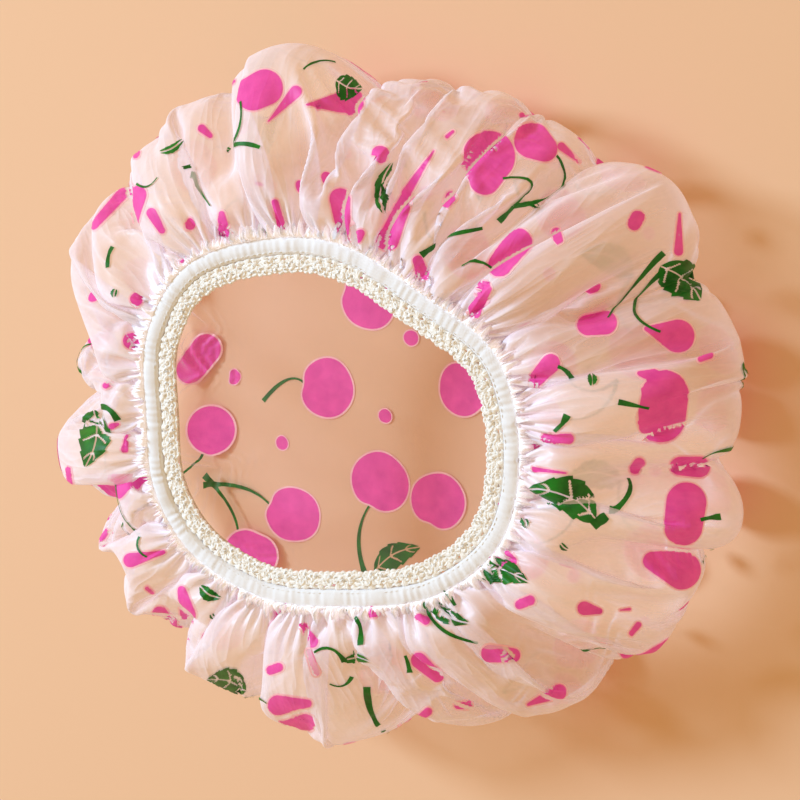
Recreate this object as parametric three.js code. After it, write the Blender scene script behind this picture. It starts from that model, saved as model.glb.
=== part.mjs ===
// Gathered shower cap of thin printed film, lying on its crown with the head opening up.
// Millimetres, +Z up. The origin is at the middle of the crown's flat rest, on the surface it lies on.

import * as THREE from 'three';

// Bonnet: overall form
const widestHalfLength = 154;
const widestHalfWidth = 146;
const widestHeight = 40;
const crownRestRadius = 88;
const filmEdgeHeight = 84;

// Bonnet: film and its gathers
const filmWall = 0.6;
const gatheredEdgeThickness = 1.2;
const foldDrop = 13;
const lobePuff = 10;
const brimRise = 3.4;
const pleatRise = 2.4;
const pleatReach = 46;
const frillRise = 1.1;
const frillReach = 3.4;

// Head opening: middle line of the binding
const rimRadius = 80;
const rimShiftX = -5;
const rimShiftY = -4;
const rimWave = 2.2;

// Binding tape, folded over the film's edge with its fold towards the opening
const bindingWidth = 7;
const tapeThickness = 0.7;
const bindingCrown = 0.5;
const foldInset = 0.9;

// Openwork elastic, sewn under the binding
const elasticWidth = 11.6;
const elasticLap = 3.8;
const elasticThickness = 1.1;
const elasticHoleWidth = 1.9;
const elasticHoleOffset = 0.6;
const picotDepth = 1.2;
const elasticDip = 0.9;

// Rubber threads laid along the back of the elastic
const coreDiameter = 0.8;

// Seam and tack threads
const threadDiameter = 0.5;
const stitchLength = 5;
const stitchDip = 0.15;
const seamOffset = 1.2;
const tackDiameter = 0.6;
const tackWidth = 2.4;
const tackMargin = 1.4;

// Fits
const seatGap = 0.3;
const edgeClearance = 1.1;

// Counts
const lobeSteps = 144;
const crownRings = 2;
const sideRings = 4;
const shoulderRings = 6;
const elasticCells = 64;
const bindingSteps = 84;
const coreSteps = 60;
const coreSides = 4;
const threadSides = 4;
const stitchSteps = 2;
const tackZigs = 7;
const tackStepsPerZig = 4;

// Outline of the bonnet at its widest line. Each row is a notch between two lobes: its angle in degrees,
// its radius and the radius of the middle of the lobe that follows, as shares of the widest line's radius.
const lobeShares = [
  [-6, 0.86, 1.02],
  [27, 0.9, 1.06],
  [52, 0.88, 0.95],
  [66, 0.92, 0.96],
  [80, 0.91, 0.94],
  [94, 0.87, 1.09],
  [118, 1.0, 1.06],
  [143, 1.0, 1.06],
  [168, 0.89, 0.94],
  [180, 0.87, 1.06],
  [202, 0.91, 1.03],
  [229, 0.97, 1.05],
  [247, 0.98, 1.04],
  [277, 0.83, 0.94],
  [294, 0.91, 0.98],
  [314, 0.91, 1.0],
  [340, 0.9, 1.06],
];

// Outline of the rim: angle in degrees, radius as a share of the rim's radius, height as a share of its wave.
const rimShares = [
  [0, 0.99, 0.4],
  [27, 0.98, 0.8],
  [55, 0.86, 0.3],
  [88, 0.93, -0.5],
  [112, 1.01, -0.9],
  [137, 1.14, -0.2],
  [158, 1.13, 0.5],
  [180, 1.06, 0.3],
  [200, 1.1, -0.4],
  [219, 1.08, -0.8],
  [243, 0.97, -0.2],
  [270, 0.86, 0.7],
  [307, 0.93, 0.5],
  [333, 1.0, -0.3],
];

// Heights across one pleat, from ridge to valley, as shares of its rise
const pleatShares = [1, -0.25, -1];

// Fullness of a lobe between its two notches: lower is squarer
const lobeCurvePower = 0.65;

// How the lobes grow out of the plain side as it rises: lower is earlier
const lobeGrowthPower = 0.7;

// Places of the rubber threads, as shares of the elastic's width from its sewn edge
const coreShares = [0.1, 0.29, 0.6, 0.8];

// Place of the elastic's join, as a share of the way round the rim
const joinShare = 0.62;

const fullTurn = 2 * Math.PI;
const radians = (degrees) => (degrees / 360) * fullTurn;
const blend = (a, b, t) => a + (b - a) * t;
const ease = (t) => t * t * (3 - 2 * t);

// Makes one closed body from a grid of points that closes on itself both ways round, such as a ring.
function ringBody(rows) {
  const sides = rows[0].length;
  const positions = rows.flat().flatMap((p) => [p.x, p.y, p.z]);
  const faces = [];
  rows.forEach((row, i) => {
    const next = (i + 1) % rows.length;
    for (let j = 0; j < sides; j += 1) {
      const right = (j + 1) % sides;
      const [a, b, c, d] = [i * sides + j, i * sides + right, next * sides + right, next * sides + j];
      faces.push(a, b, c, a, c, d);
    }
  });
  return meshGeometry(positions, faces);
}

function meshGeometry(positions, faces) {
  const geometry = new THREE.BufferGeometry();
  geometry.setAttribute('position', new THREE.Float32BufferAttribute(positions, 3));
  geometry.setIndex(faces);
  geometry.computeVertexNormals();
  return geometry;
}

// Rim line: a smooth closed curve through the rim's points, at the middle of the gathered film edge
const rimCurve = new THREE.CatmullRomCurve3(
  rimShares.map(([degrees, radiusShare, heightShare]) => {
    const radius = rimRadius * radiusShare;
    return new THREE.Vector3(
      rimShiftX + radius * Math.cos(radians(degrees)),
      rimShiftY + radius * Math.sin(radians(degrees)),
      filmEdgeHeight + rimWave * heightShare,
    );
  }),
  true,
  'centripetal',
);
const rimLength = rimCurve.getLength();

// Point beside the rim line: inward is towards the opening's middle, up is along +Z
function rimPoint(share, inward, up) {
  const at = ((share % 1) + 1) % 1;
  const centre = rimCurve.getPointAt(at);
  const along = rimCurve.getTangentAt(at);
  const flat = Math.hypot(along.x, along.y);
  return new THREE.Vector3(
    centre.x - (along.y / flat) * inward,
    centre.y + (along.x / flat) * inward,
    centre.z + up,
  );
}

// Ring along the rim line with the given section, a closed list of [inward, up] going round from the
// top of the outer side over the bottom to the inner side
function rimRing(section, steps) {
  const rows = [];
  for (let i = 0; i < steps; i += 1) {
    rows.push(section.map(([inward, up]) => rimPoint(i / steps, inward, up)));
  }
  return ringBody(rows);
}

function roundSection(inward, up, diameter, sides) {
  return Array.from({ length: sides }, (_, k) => {
    const angle = radians(90) + (fullTurn * k) / sides;
    return [inward + (diameter / 2) * Math.cos(angle), up + (diameter / 2) * Math.sin(angle)];
  });
}

// Heights above and below the rim line at which the layers of the rim meet
const edgeHalf = gatheredEdgeThickness / 2;
const tapeInside = edgeHalf + seatGap;
const tapeOutside = tapeInside + tapeThickness;
const elasticTop = -tapeOutside - seatGap;
const bindingOuterEdge = -bindingWidth / 2;
const bindingFoldEdge = bindingWidth / 2;
const elasticOuterEdge = bindingFoldEdge - elasticLap;
const elasticInnerEdge = elasticOuterEdge + elasticWidth;

// Binding: a U section that holds the film's edge between its legs
function bindingSection() {
  const innerFold = bindingFoldEdge - tapeThickness;
  return [
    [bindingOuterEdge, tapeInside],
    [bindingOuterEdge, tapeOutside],
    [0, tapeOutside + bindingCrown],
    [bindingFoldEdge - foldInset, tapeOutside],
    [bindingFoldEdge, 0],
    [bindingFoldEdge - foldInset, -tapeOutside],
    [bindingOuterEdge, -tapeOutside],
    [bindingOuterEdge, -tapeInside],
    [innerFold - foldInset, -tapeInside],
    [innerFold, 0],
    [innerFold - foldInset, tapeInside],
  ].reverse();
}

// Height of the binding's upper face
function bindingTopAt(inward) {
  return tapeOutside + bindingCrown * (1 - Math.abs(inward) / (bindingFoldEdge - foldInset));
}

// Height of the elastic's upper and lower face: it dips a little towards the opening
function elasticTopAt(inward) {
  return elasticTop - elasticDip * ((inward - elasticOuterEdge) / elasticWidth) ** 2;
}

function elasticUnderAt(inward) {
  return elasticTopAt(inward) - elasticThickness;
}

// Elastic: a ribbon of cells, each with a hole beside the binding and a picot at the inner edge
function elasticGeometry() {
  const holeStart = bindingFoldEdge + elasticHoleOffset;
  const lines = [elasticOuterEdge, holeStart, holeStart + elasticHoleWidth, elasticInnerEdge - picotDepth];
  const columns = 2 * elasticCells;
  const strips = lines.length;
  const stride = strips + 1;
  const positions = [];
  [elasticTopAt, elasticUnderAt].forEach((heightAt) => {
    for (let i = 0; i < columns; i += 1) {
      const edge = elasticInnerEdge - (i % 2) * picotDepth / 2;
      [...lines, edge].forEach((inward) => {
        const p = rimPoint(i / columns, inward, heightAt(inward));
        positions.push(p.x, p.y, p.z);
      });
    }
  });
  const filled = (i, j) => j >= 0 && j < strips && !(j === 1 && i % 2 === 1);
  const index = (layer, i, j) => layer * columns * stride + (i % columns) * stride + j;
  const faces = [];
  const quad = (a, b, c, d) => faces.push(a, b, c, a, c, d);
  for (let i = 0; i < columns; i += 1) {
    const before = (i + columns - 1) % columns;
    const after = (i + 1) % columns;
    for (let j = 0; j < strips; j += 1) {
      if (!filled(i, j)) continue;
      quad(index(0, i, j), index(0, i + 1, j), index(0, i + 1, j + 1), index(0, i, j + 1));
      quad(index(1, i, j), index(1, i, j + 1), index(1, i + 1, j + 1), index(1, i + 1, j));
      if (!filled(i, j - 1)) quad(index(0, i, j), index(1, i, j), index(1, i + 1, j), index(0, i + 1, j));
      if (!filled(i, j + 1)) {
        quad(index(0, i, j + 1), index(0, i + 1, j + 1), index(1, i + 1, j + 1), index(1, i, j + 1));
      }
      if (!filled(before, j)) quad(index(0, i, j), index(0, i, j + 1), index(1, i, j + 1), index(1, i, j));
      if (!filled(after, j)) {
        quad(index(0, i + 1, j), index(1, i + 1, j), index(1, i + 1, j + 1), index(0, i + 1, j + 1));
      }
    }
  }
  return meshGeometry(positions, faces);
}

// Outline share of the bonnet at an angle: scalloped lobes that meet in sharp notches
function lobeAt(degrees) {
  const first = lobeShares[0][0];
  const turned = ((((degrees - first) % 360) + 360) % 360) + first;
  let k = lobeShares.length - 1;
  while (lobeShares[k][0] > turned) k -= 1;
  const [start, startShare, middleShare] = lobeShares[k];
  const next = lobeShares[(k + 1) % lobeShares.length];
  const end = k + 1 < lobeShares.length ? next[0] : next[0] + 360;
  const along = (turned - start) / (end - start);
  const bulge = (4 * along * (1 - along)) ** lobeCurvePower;
  const notch = blend(startShare, next[1], along);
  return { share: notch + (middleShare - (startShare + next[1]) / 2) * bulge, bulge };
}

// Mean outline share, which the plain lower side follows
const meanLobeShare = lobeShares.reduce((total, row) => total + (row[1] + 2 * row[2]) / 3, 0) / lobeShares.length;

// One column of the bonnet's outer face, from the crown's rest to inside the binding
function filmColumn(i) {
  const share = i / lobeSteps;
  const rimStart = rimPoint(share, 0, 0);
  const angle = Math.atan2(rimStart.y - rimShiftY, rimStart.x - rimShiftX);
  const lobe = lobeAt((angle / fullTurn) * 360);
  const direction = new THREE.Vector3(Math.cos(angle), Math.sin(angle), 0);
  const widest = new THREE.Vector3(
    widestHalfLength * lobe.share * direction.x,
    widestHalfWidth * lobe.share * direction.y,
    widestHeight,
  );
  const pleat = pleatShares[i % pleatShares.length];
  const frill = i % 2 ? 1 : -1;
  const column = [];
  for (let k = 1; k <= crownRings; k += 1) {
    column.push(direction.clone().multiplyScalar((crownRestRadius * k) / crownRings));
  }
  const crownEdge = column[column.length - 1];
  for (let k = 1; k <= sideRings; k += 1) {
    const turn = radians(90) * (k / sideRings);
    const out = Math.sin(turn);
    const grown = (1 - Math.cos(turn)) ** lobeGrowthPower;
    const reachShare = blend(meanLobeShare, lobe.share, grown);
    column.push(new THREE.Vector3(
      blend(crownEdge.x, widestHalfLength * reachShare * direction.x, out),
      blend(crownEdge.y, widestHalfWidth * reachShare * direction.y, out),
      widestHeight * (1 - Math.cos(turn)),
    ));
  }
  const edge = rimPoint(share, bindingOuterEdge - frillReach, 0);
  const reach = edge.distanceTo(widest);
  for (let k = 1; k <= shoulderRings; k += 1) {
    const turn = radians(90) * (k / shoulderRings);
    const inward = 1 - Math.cos(turn);
    const near = Math.max(0, 1 - (reach * (1 - inward)) / pleatReach);
    const valley = (1 - lobe.bulge) * Math.sin(2 * turn);
    const puff = lobe.bulge * Math.sin(turn) ** 4 * Math.sin(2 * turn);
    const brim = blend(widestHeight, edge.z + brimRise, Math.sin(turn));
    const height = brim - foldDrop * valley + lobePuff * puff;
    column.push(new THREE.Vector3(
      blend(widest.x, edge.x, inward),
      blend(widest.y, edge.y, inward),
      height + pleatRise * pleat * ease(near),
    ));
  }
  column.push(rimPoint(share, bindingOuterEdge - frillReach / 2, brimRise / 2 + frillRise * frill));
  column.push(rimPoint(share, bindingOuterEdge - seatGap, 0));
  column.push(rimPoint(share, bindingFoldEdge - tapeThickness - foldInset - edgeClearance, 0));
  return column;
}

// Bonnet: outer and inner faces joined at the edge that the binding holds
function filmGeometry() {
  const columns = Array.from({ length: lobeSteps }, (_, i) => filmColumn(i));
  const rings = columns[0].length;
  const outer = filmFace(columns, rings);
  const held = 2;
  const inner = columns.map((column, i) => column.map((p, j) => {
    const normal = outer.normalAt(i, j);
    if (j >= rings - held) return p.clone().add(new THREE.Vector3(0, 0, -edgeHalf));
    return j < crownRings ? p.clone().setZ(filmWall) : p.clone().addScaledVector(normal, -filmWall);
  }));
  columns.forEach((column) => column.slice(rings - held).forEach((p) => p.setZ(p.z + edgeHalf)));
  const positions = [0, 0, 0, 0, 0, filmWall];
  [columns, inner].forEach((face) => face.flat().forEach((p) => positions.push(p.x, p.y, p.z)));
  const index = (layer, i, j) => 2 + layer * lobeSteps * rings + (i % lobeSteps) * rings + j;
  const faces = [];
  for (let i = 0; i < lobeSteps; i += 1) {
    faces.push(0, index(0, i + 1, 0), index(0, i, 0));
    faces.push(1, index(1, i, 0), index(1, i + 1, 0));
    for (let j = 0; j < rings - 1; j += 1) {
      const [a, b, c, d] = [index(0, i, j), index(0, i + 1, j), index(0, i + 1, j + 1), index(0, i, j + 1)];
      faces.push(a, b, c, a, c, d);
      const [e, f, g, h] = [index(1, i, j), index(1, i, j + 1), index(1, i + 1, j + 1), index(1, i + 1, j)];
      faces.push(e, f, g, e, g, h);
    }
    const last = rings - 1;
    const [a, b, c, d] = [index(0, i, last), index(0, i + 1, last), index(1, i + 1, last), index(1, i, last)];
    faces.push(a, b, c, a, c, d);
  }
  return meshGeometry(positions, faces);
}

// Outward normals of a face given as columns
function filmFace(columns, rings) {
  const at = (i, j) => columns[(i + lobeSteps) % lobeSteps][Math.min(Math.max(j, 0), rings - 1)];
  return {
    normalAt(i, j) {
      const round = at(i + 1, j).clone().sub(at(i - 1, j));
      const up = at(i, j + 1).clone().sub(at(i, j - 1));
      return round.cross(up).normalize();
    },
  };
}

// Seam thread: a tube that runs along the rim and dips at each stitch's end
function seamGeometry(inward, up, dip) {
  const stitches = Math.round(rimLength / stitchLength);
  const steps = stitches * stitchSteps;
  const rows = [];
  for (let i = 0; i < steps; i += 1) {
    const lift = i % stitchSteps ? 0 : dip;
    const section = roundSection(inward, up - lift, threadDiameter, threadSides);
    rows.push(section.map(([a, b]) => rimPoint(i / steps, a, b)));
  }
  return ringBody(rows);
}

// Tack over the joined ends of the elastic: a zigzag across its back, outside the rubber threads
function tackGeometry() {
  const start = elasticOuterEdge + tackMargin;
  const end = elasticInnerEdge - picotDepth - tackMargin;
  const points = [];
  for (let k = 0; k <= tackZigs; k += 1) {
    const inward = blend(start, end, k / tackZigs);
    const side = (k % 2 ? 1 : -1) * (tackWidth / 2);
    const drop = elasticUnderAt(inward) - 2 * seatGap - coreDiameter - tackDiameter / 2;
    points.push(rimPoint(joinShare + side / rimLength, inward, drop));
  }
  const section = new THREE.Shape(
    roundSection(0, 0, tackDiameter, threadSides).map(([a, b]) => new THREE.Vector2(a, b)),
  );
  return new THREE.ExtrudeGeometry(section, {
    extrudePath: new THREE.CatmullRomCurve3(points),
    steps: tackZigs * tackStepsPerZig,
  });
}

const materials = {
  film: new THREE.MeshStandardMaterial({ color: 0xf3d3cc, roughness: 0.3, metalness: 0 }),
  binding: new THREE.MeshStandardMaterial({ color: 0xf7f4f2, roughness: 0.7, metalness: 0 }),
  elastic: new THREE.MeshStandardMaterial({ color: 0xf1e9da, roughness: 0.85, metalness: 0 }),
  rubber: new THREE.MeshStandardMaterial({ color: 0xe6ddc9, roughness: 0.6, metalness: 0 }),
  thread: new THREE.MeshStandardMaterial({ color: 0xfbfaf8, roughness: 0.75, metalness: 0 }),
};

const showerCap = new THREE.Group();

function addPiece(name, geometry, material) {
  const mesh = new THREE.Mesh(geometry, material);
  mesh.name = name;
  showerCap.add(mesh);
}

addPiece('cap_film', filmGeometry(), materials.film);
addPiece('rim_binding', rimRing(bindingSection(), bindingSteps), materials.binding);

addPiece('knit_elastic', elasticGeometry(), materials.elastic);

coreShares.forEach((coreShare, k) => {
  const inward = elasticOuterEdge + elasticWidth * coreShare;
  const centre = elasticUnderAt(inward) - seatGap - coreDiameter / 2;
  const section = roundSection(inward, centre, coreDiameter, coreSides);
  addPiece(`rubber_core_${k + 1}`, rimRing(section, coreSteps), materials.rubber);
});

const seamInward = bindingFoldEdge - seamOffset;
const threadLift = seatGap + threadDiameter / 2;
const overSeam = bindingTopAt(seamInward) + threadLift + stitchDip;
const underSeam = elasticUnderAt(seamInward) - threadLift - stitchDip;
addPiece('needle_thread', seamGeometry(seamInward, overSeam, stitchDip), materials.thread);
addPiece('bobbin_thread', seamGeometry(seamInward, underSeam, -stitchDip), materials.thread);
addPiece('join_tack_thread', tackGeometry(), materials.thread);

export default showerCap;
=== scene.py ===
import bpy
import numpy as np
from mathutils import Matrix, Vector


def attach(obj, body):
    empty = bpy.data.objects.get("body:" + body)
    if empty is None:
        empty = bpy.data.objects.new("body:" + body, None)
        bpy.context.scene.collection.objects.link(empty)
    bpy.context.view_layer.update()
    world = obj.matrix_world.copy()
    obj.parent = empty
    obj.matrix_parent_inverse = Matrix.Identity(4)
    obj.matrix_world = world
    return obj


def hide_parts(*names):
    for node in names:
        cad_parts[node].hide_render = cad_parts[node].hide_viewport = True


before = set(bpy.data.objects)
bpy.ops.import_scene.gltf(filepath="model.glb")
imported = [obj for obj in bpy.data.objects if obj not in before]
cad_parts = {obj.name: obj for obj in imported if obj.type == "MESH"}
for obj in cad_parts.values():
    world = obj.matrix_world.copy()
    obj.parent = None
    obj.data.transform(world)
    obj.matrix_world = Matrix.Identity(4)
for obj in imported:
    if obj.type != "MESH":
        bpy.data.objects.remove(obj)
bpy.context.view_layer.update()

MM = 0.001
FULL_TURN = 2 * np.pi
TINY = 1e-9

# Sizes of the cap, in metres
WIDEST_HALF_LENGTH = 154 * MM
WIDEST_HALF_WIDTH = 146 * MM
WIDEST_HEIGHT = 40 * MM
CROWN_REST_RADIUS = 88 * MM
FILM_EDGE_HEIGHT = 84 * MM
FOLD_DROP = 15 * MM
LOBE_PUFF = 8 * MM
RIM_RADIUS = 80 * MM
RIM_SHIFT = (-5 * MM, -4 * MM)
RIM_WAVE = 2.2 * MM
FILM_DISC_RADIUS = 266 * MM

# Layers at the rim, measured inward from the rim line and up from it
BINDING_HALF_WIDTH = 3.5 * MM
ELASTIC_OUTER_EDGE = -0.3 * MM
ELASTIC_WIDTH = 11.6 * MM
ELASTIC_TOP = -1.9 * MM
ELASTIC_THICKNESS = 1.1 * MM
ELASTIC_DIP = 0.9 * MM
ELASTIC_CELLS = 64
CORE_DIAMETER = 0.8 * MM
CORE_SHARES = (0.1, 0.29, 0.6, 0.8)
SEAT_GAP = 0.3 * MM

# A notch between two lobes of the bonnet: its angle in degrees, its radius and the radius of the middle of
# the lobe that follows, as shares of the widest line's radius
LOBE_SHARES = (
    (-6, 0.86, 1.02), (27, 0.9, 1.06), (52, 0.88, 0.95), (66, 0.92, 0.96), (80, 0.91, 0.94), (94, 0.87, 1.09),
    (118, 1.0, 1.06), (143, 1.0, 1.06), (168, 0.89, 0.94), (180, 0.87, 1.06), (202, 0.91, 1.03),
    (229, 0.97, 1.05), (247, 0.98, 1.04), (277, 0.83, 0.94), (294, 0.91, 0.98), (314, 0.91, 1.0),
    (340, 0.9, 1.06),
)
LOBE_CURVE_POWER = 0.65

# The rim: angle in degrees, radius as a share of the rim's radius, height as a share of its wave
RIM_SHARES = (
    (0, 0.99, 0.4), (27, 0.98, 0.8), (55, 0.86, 0.3), (88, 0.93, -0.5), (112, 1.01, -0.9), (137, 1.14, -0.2),
    (158, 1.13, 0.5), (180, 1.06, 0.3), (200, 1.1, -0.4), (219, 1.08, -0.8), (243, 0.97, -0.2),
    (270, 0.86, 0.7), (307, 0.93, 0.5), (333, 1.0, -0.3),
)


def blend(a, b, t):
    return a + (b - a) * t


def ease(t):
    t = np.clip(t, 0, 1)
    return t * t * (3 - 2 * t)


def onset(value, start, width):
    """From 0 to 1 over a width past a start, both in millimetres."""
    return ease((value - start * MM) / (width * MM))


def sizes_of(vectors):
    return np.linalg.norm(vectors, axis=1)


def heading(turn):
    """Directions in the plane at these turns, in radians."""
    return np.stack((np.cos(turn), np.sin(turn)), -1)


def turns_of(count):
    return np.arange(count) / count * FULL_TURN


def turn_from(turn, degrees):
    """How far turns are from an angle in degrees, either way round."""
    return np.mod(turn - np.radians(degrees) + np.pi, FULL_TURN) - np.pi


def length_along(points, least=0.0):
    """Length of a line up to each of its points."""
    return np.concatenate(([0], np.cumsum(sizes_of(np.diff(points, axis=0)) + least)))


def places_along(reach, along, points):
    """Points of a line at some lengths along it."""
    return np.stack([np.interp(reach, along, points[:, k]) for k in range(points.shape[1])], -1)


# Rim line


def rim_curve(steps_per_span=160):
    """Closed centripetal curve through the rim's points, as dense points with the length up to each."""
    degrees, radius_share, height_share = np.array(RIM_SHARES, float).T
    angle = np.radians(degrees)
    x = RIM_SHIFT[0] + RIM_RADIUS * radius_share * np.cos(angle)
    y = RIM_SHIFT[1] + RIM_RADIUS * radius_share * np.sin(angle)
    knots = np.stack((x, y, FILM_EDGE_HEIGHT + RIM_WAVE * height_share), 1)
    p0, p1, p2, p3 = (np.roll(knots, shift, 0) for shift in (1, 0, -1, -2))
    d0, d1, d2 = (sizes_of(b - a)[:, None] ** 0.5 for a, b in ((p0, p1), (p1, p2), (p2, p3)))
    start = ((p1 - p0) / d0 - (p2 - p0) / (d0 + d1) + (p2 - p1) / d1) * d1
    end = ((p2 - p1) / d1 - (p3 - p1) / (d1 + d2) + (p3 - p2) / d2) * d1
    t = (np.arange(steps_per_span) / steps_per_span)[None, :, None]
    p1, p2, start, end = (a[:, None, :] for a in (p1, p2, start, end))
    square, cube = (3 * (p2 - p1) - 2 * start - end) * t**2, (2 * (p1 - p2) + start + end) * t**3
    points = (p1 + start * t + square + cube).reshape(-1, 3)
    points = np.vstack((points, points[:1]))
    return points, length_along(points)


RIM_POINTS, RIM_ALONG = rim_curve()
RIM_LENGTH = RIM_ALONG[-1]


def rim_place(share, inward=0.0, up=0.0):
    """Points beside the rim line at shares of its length, some way inward and up."""
    share = np.asarray(share, float)

    def at(s):
        return places_along(np.mod(s, 1) * RIM_LENGTH, RIM_ALONG, RIM_POINTS)

    point = at(share)
    tangent = at(share + 0.002) - at(share - 0.002)
    flat = np.hypot(tangent[..., 0], tangent[..., 1])
    point[..., 0] -= tangent[..., 1] / flat * inward
    point[..., 1] += tangent[..., 0] / flat * inward
    point[..., 2] += up
    return point


# Meshes and objects


def link(name, data):
    piece = bpy.data.objects.new(name, data)
    bpy.context.scene.collection.objects.link(piece)
    return piece


def add_object(name, points, faces, material, map_name=None, flat=None):
    """A smooth piece. flat holds the place of each of its points on the sheet or strip it was cut from."""
    mesh = bpy.data.meshes.new(name)
    mesh.from_pydata([tuple(p) for p in points], [], [tuple(f) for f in faces])
    mesh.polygons.foreach_set("use_smooth", [True] * len(mesh.polygons))
    mesh.materials.append(material)
    if flat is not None:
        corners = np.empty(len(mesh.loops), int)
        mesh.loops.foreach_get("vertex_index", corners)
        mesh.uv_layers.new(name=map_name).data.foreach_set("uv", flat[corners].ravel())
    return link(name, mesh)


def grid_faces(rows, columns, rows_close=False, columns_close=False):
    """Quads of a grid of points, which may close on itself: here, next row, next of both, next column."""
    sizes = (rows if rows_close else rows - 1, columns if columns_close else columns - 1)
    i, j = np.meshgrid(*map(np.arange, sizes), indexing="ij")
    after, beside = (i + 1) % rows, (j + 1) % columns
    quads = (i * columns + j, after * columns + j, after * columns + beside, i * columns + beside)
    return np.stack(quads, -1).reshape(-1, 4)


# The same corners from the same start, the other way round
OTHER_WAY = (0, 3, 2, 1)


# Materials


class Maker:
    """Adds nodes to a tree. Inputs come in order or by their names, which start with a capital."""

    def __init__(self, tree):
        self.tree = tree

    def node(self, kind, *inputs, **named):
        made = self.tree.nodes.new(kind)
        for name in [name for name in named if name[0].islower()]:
            setattr(made, name, named.pop(name))
        for socket, value in zip(made.inputs, inputs, strict=False):
            self.feed(socket, value)
        for name, value in named.items():
            self.feed(made.inputs[name], value)
        return made

    def feed(self, socket, value):
        if isinstance(value, bpy.types.Node):
            value = value.outputs[0]
        if isinstance(value, bpy.types.NodeSocket):
            self.tree.links.new(value, socket)
        else:
            socket.default_value = value

    def math(self, operation, *inputs, **settings):
        return self.node("ShaderNodeMath", *inputs, operation=operation, **settings).outputs[0]

    def times(self, a, b, **settings):
        return self.math("MULTIPLY", a, b, **settings)

    def times_plus(self, a, b, c):
        return self.math("MULTIPLY_ADD", a, b, c)

    def vector(self, operation, *inputs, **settings):
        made = self.node("ShaderNodeVectorMath", *inputs, operation=operation, **settings)
        return made.outputs["Value" if operation == "LENGTH" else "Vector"]

    def ramp(self, *inputs, smooth=False):
        """A value's place between two limits, carried to between two others."""
        how = {"interpolation_type": "SMOOTHSTEP"} if smooth else {}
        return self.node("ShaderNodeMapRange", *inputs, **how).outputs[0]

    def split(self, vector):
        return self.node("ShaderNodeSeparateXYZ", vector).outputs

    def noise(self, place, scale, detail=2.0, roughness=0.5):
        made = self.node("ShaderNodeTexNoise", Vector=place, Scale=scale, Detail=detail, Roughness=roughness)
        return made.outputs[0]

    def place(self, name):
        """The piece's own flat places, by the name of its map."""
        return self.node("ShaderNodeUVMap", uv_map=name).outputs[0]

    def mix(self, share, a, b):
        made = self.node("ShaderNodeMix", share, data_type="RGBA")
        self.feed(made.inputs[6], a)
        self.feed(made.inputs[7], b)
        return made.outputs[2]

    def group(self, tree, place, **named):
        made = self.node("ShaderNodeGroup", node_tree=tree)
        for name, value in {"Place": place, **named}.items():
            self.feed(made.inputs[name], value)
        return made.outputs


def new_material(name):
    material = bpy.data.materials.new(name)
    material.use_nodes = True
    return material, Maker(material.node_tree)


def finish_look(material, make, inputs, height=None, depth=0.0, strength=1.0):
    """Feed the shader's inputs, with a bump from a height map, its depth and its strength."""
    if height is not None:
        bump = make.node("ShaderNodeBump", Strength=strength, Distance=depth, Height=height)
        inputs = {**inputs, "Normal": bump}
    for name, value in inputs.items():
        make.feed(material.node_tree.nodes["Principled BSDF"].inputs[name], value)
    return material


def linear(red, green, blue):
    """A colour as seen, 0 to 255, in linear light."""
    return (*[((c / 255 + 0.055) / 1.055) ** 2.4 if c > 10 else c / 3295 for c in (red, green, blue)], 1.0)


# Camera, floor and lights

CAMERA_TILT = np.radians(27)
CAMERA_TURN = np.arctan2(0.39, 0.92)
CAMERA_DISTANCE = 1.0
CAMERA_TARGET = Vector((9 * MM, 5.5 * MM, 45 * MM))
VIEW_WIDTH = 336 * MM
SENSOR_WIDTH = 36.0
TARGET_PIXEL = (406, 398)
FRAME_PIXELS = 800


def camera_axes():
    """The camera's own directions: right, up and back."""
    level = np.sin(CAMERA_TILT)
    back = Vector((level * np.cos(CAMERA_TURN), level * np.sin(CAMERA_TURN), np.cos(CAMERA_TILT)))
    right = Vector((0, 1, 0)).cross(back).normalized()
    return right, back.cross(right), back


def in_picture(points):
    """Pixel x, pixel y and distance before the camera of points, in the photograph's frame."""
    right, up, back = (np.array(axis) for axis in camera_axes())
    from_camera = points - (np.array(CAMERA_TARGET) + back * CAMERA_DISTANCE)
    depth = -(from_camera @ back)
    pixels = FRAME_PIXELS * CAMERA_DISTANCE / VIEW_WIDTH / depth
    return TARGET_PIXEL[0] + from_camera @ right * pixels, TARGET_PIXEL[1] - from_camera @ up * pixels, depth


def add_camera():
    right, up, back = camera_axes()
    data = bpy.data.cameras.new("camera")
    data.sensor_width = SENSOR_WIDTH
    data.lens = SENSOR_WIDTH * CAMERA_DISTANCE / VIEW_WIDTH
    data.shift_x = (FRAME_PIXELS / 2 - TARGET_PIXEL[0]) / FRAME_PIXELS
    data.shift_y = (TARGET_PIXEL[1] - FRAME_PIXELS / 2) / FRAME_PIXELS
    camera = link("camera", data)
    turn = Matrix((right, up, back)).transposed()
    camera.matrix_world = Matrix.LocRotScale(CAMERA_TARGET + back * CAMERA_DISTANCE, turn, None)
    return camera


scene = bpy.context.scene
scene.camera = add_camera()
scene.view_settings.view_transform = "Standard"
scene.cycles.transparent_max_bounces = 32


def add_floor(half=3.0):
    material, make = new_material("floor")
    colour = linear(241, 198, 161)
    finish_look(material, make, {"Base Color": colour, "Roughness": 0.9, "Specular IOR Level": 0.1})
    corners = [(-half, -half, 0), (half, -half, 0), (half, half, 0), (-half, half, 0)]
    floor = add_object("floor", corners, [(0, 1, 2, 3)], material)


add_floor()


def add_lamp(name, place, size, power, colour):
    data = bpy.data.lights.new(name, "AREA")
    data.shape = "DISK"
    data.size = size
    data.energy = power
    data.color = colour
    lamp = link(name, data)
    lamp.location = place
    lamp.rotation_euler = (Vector(place) * -1).to_track_quat("-Z", "Y").to_euler()


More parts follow.
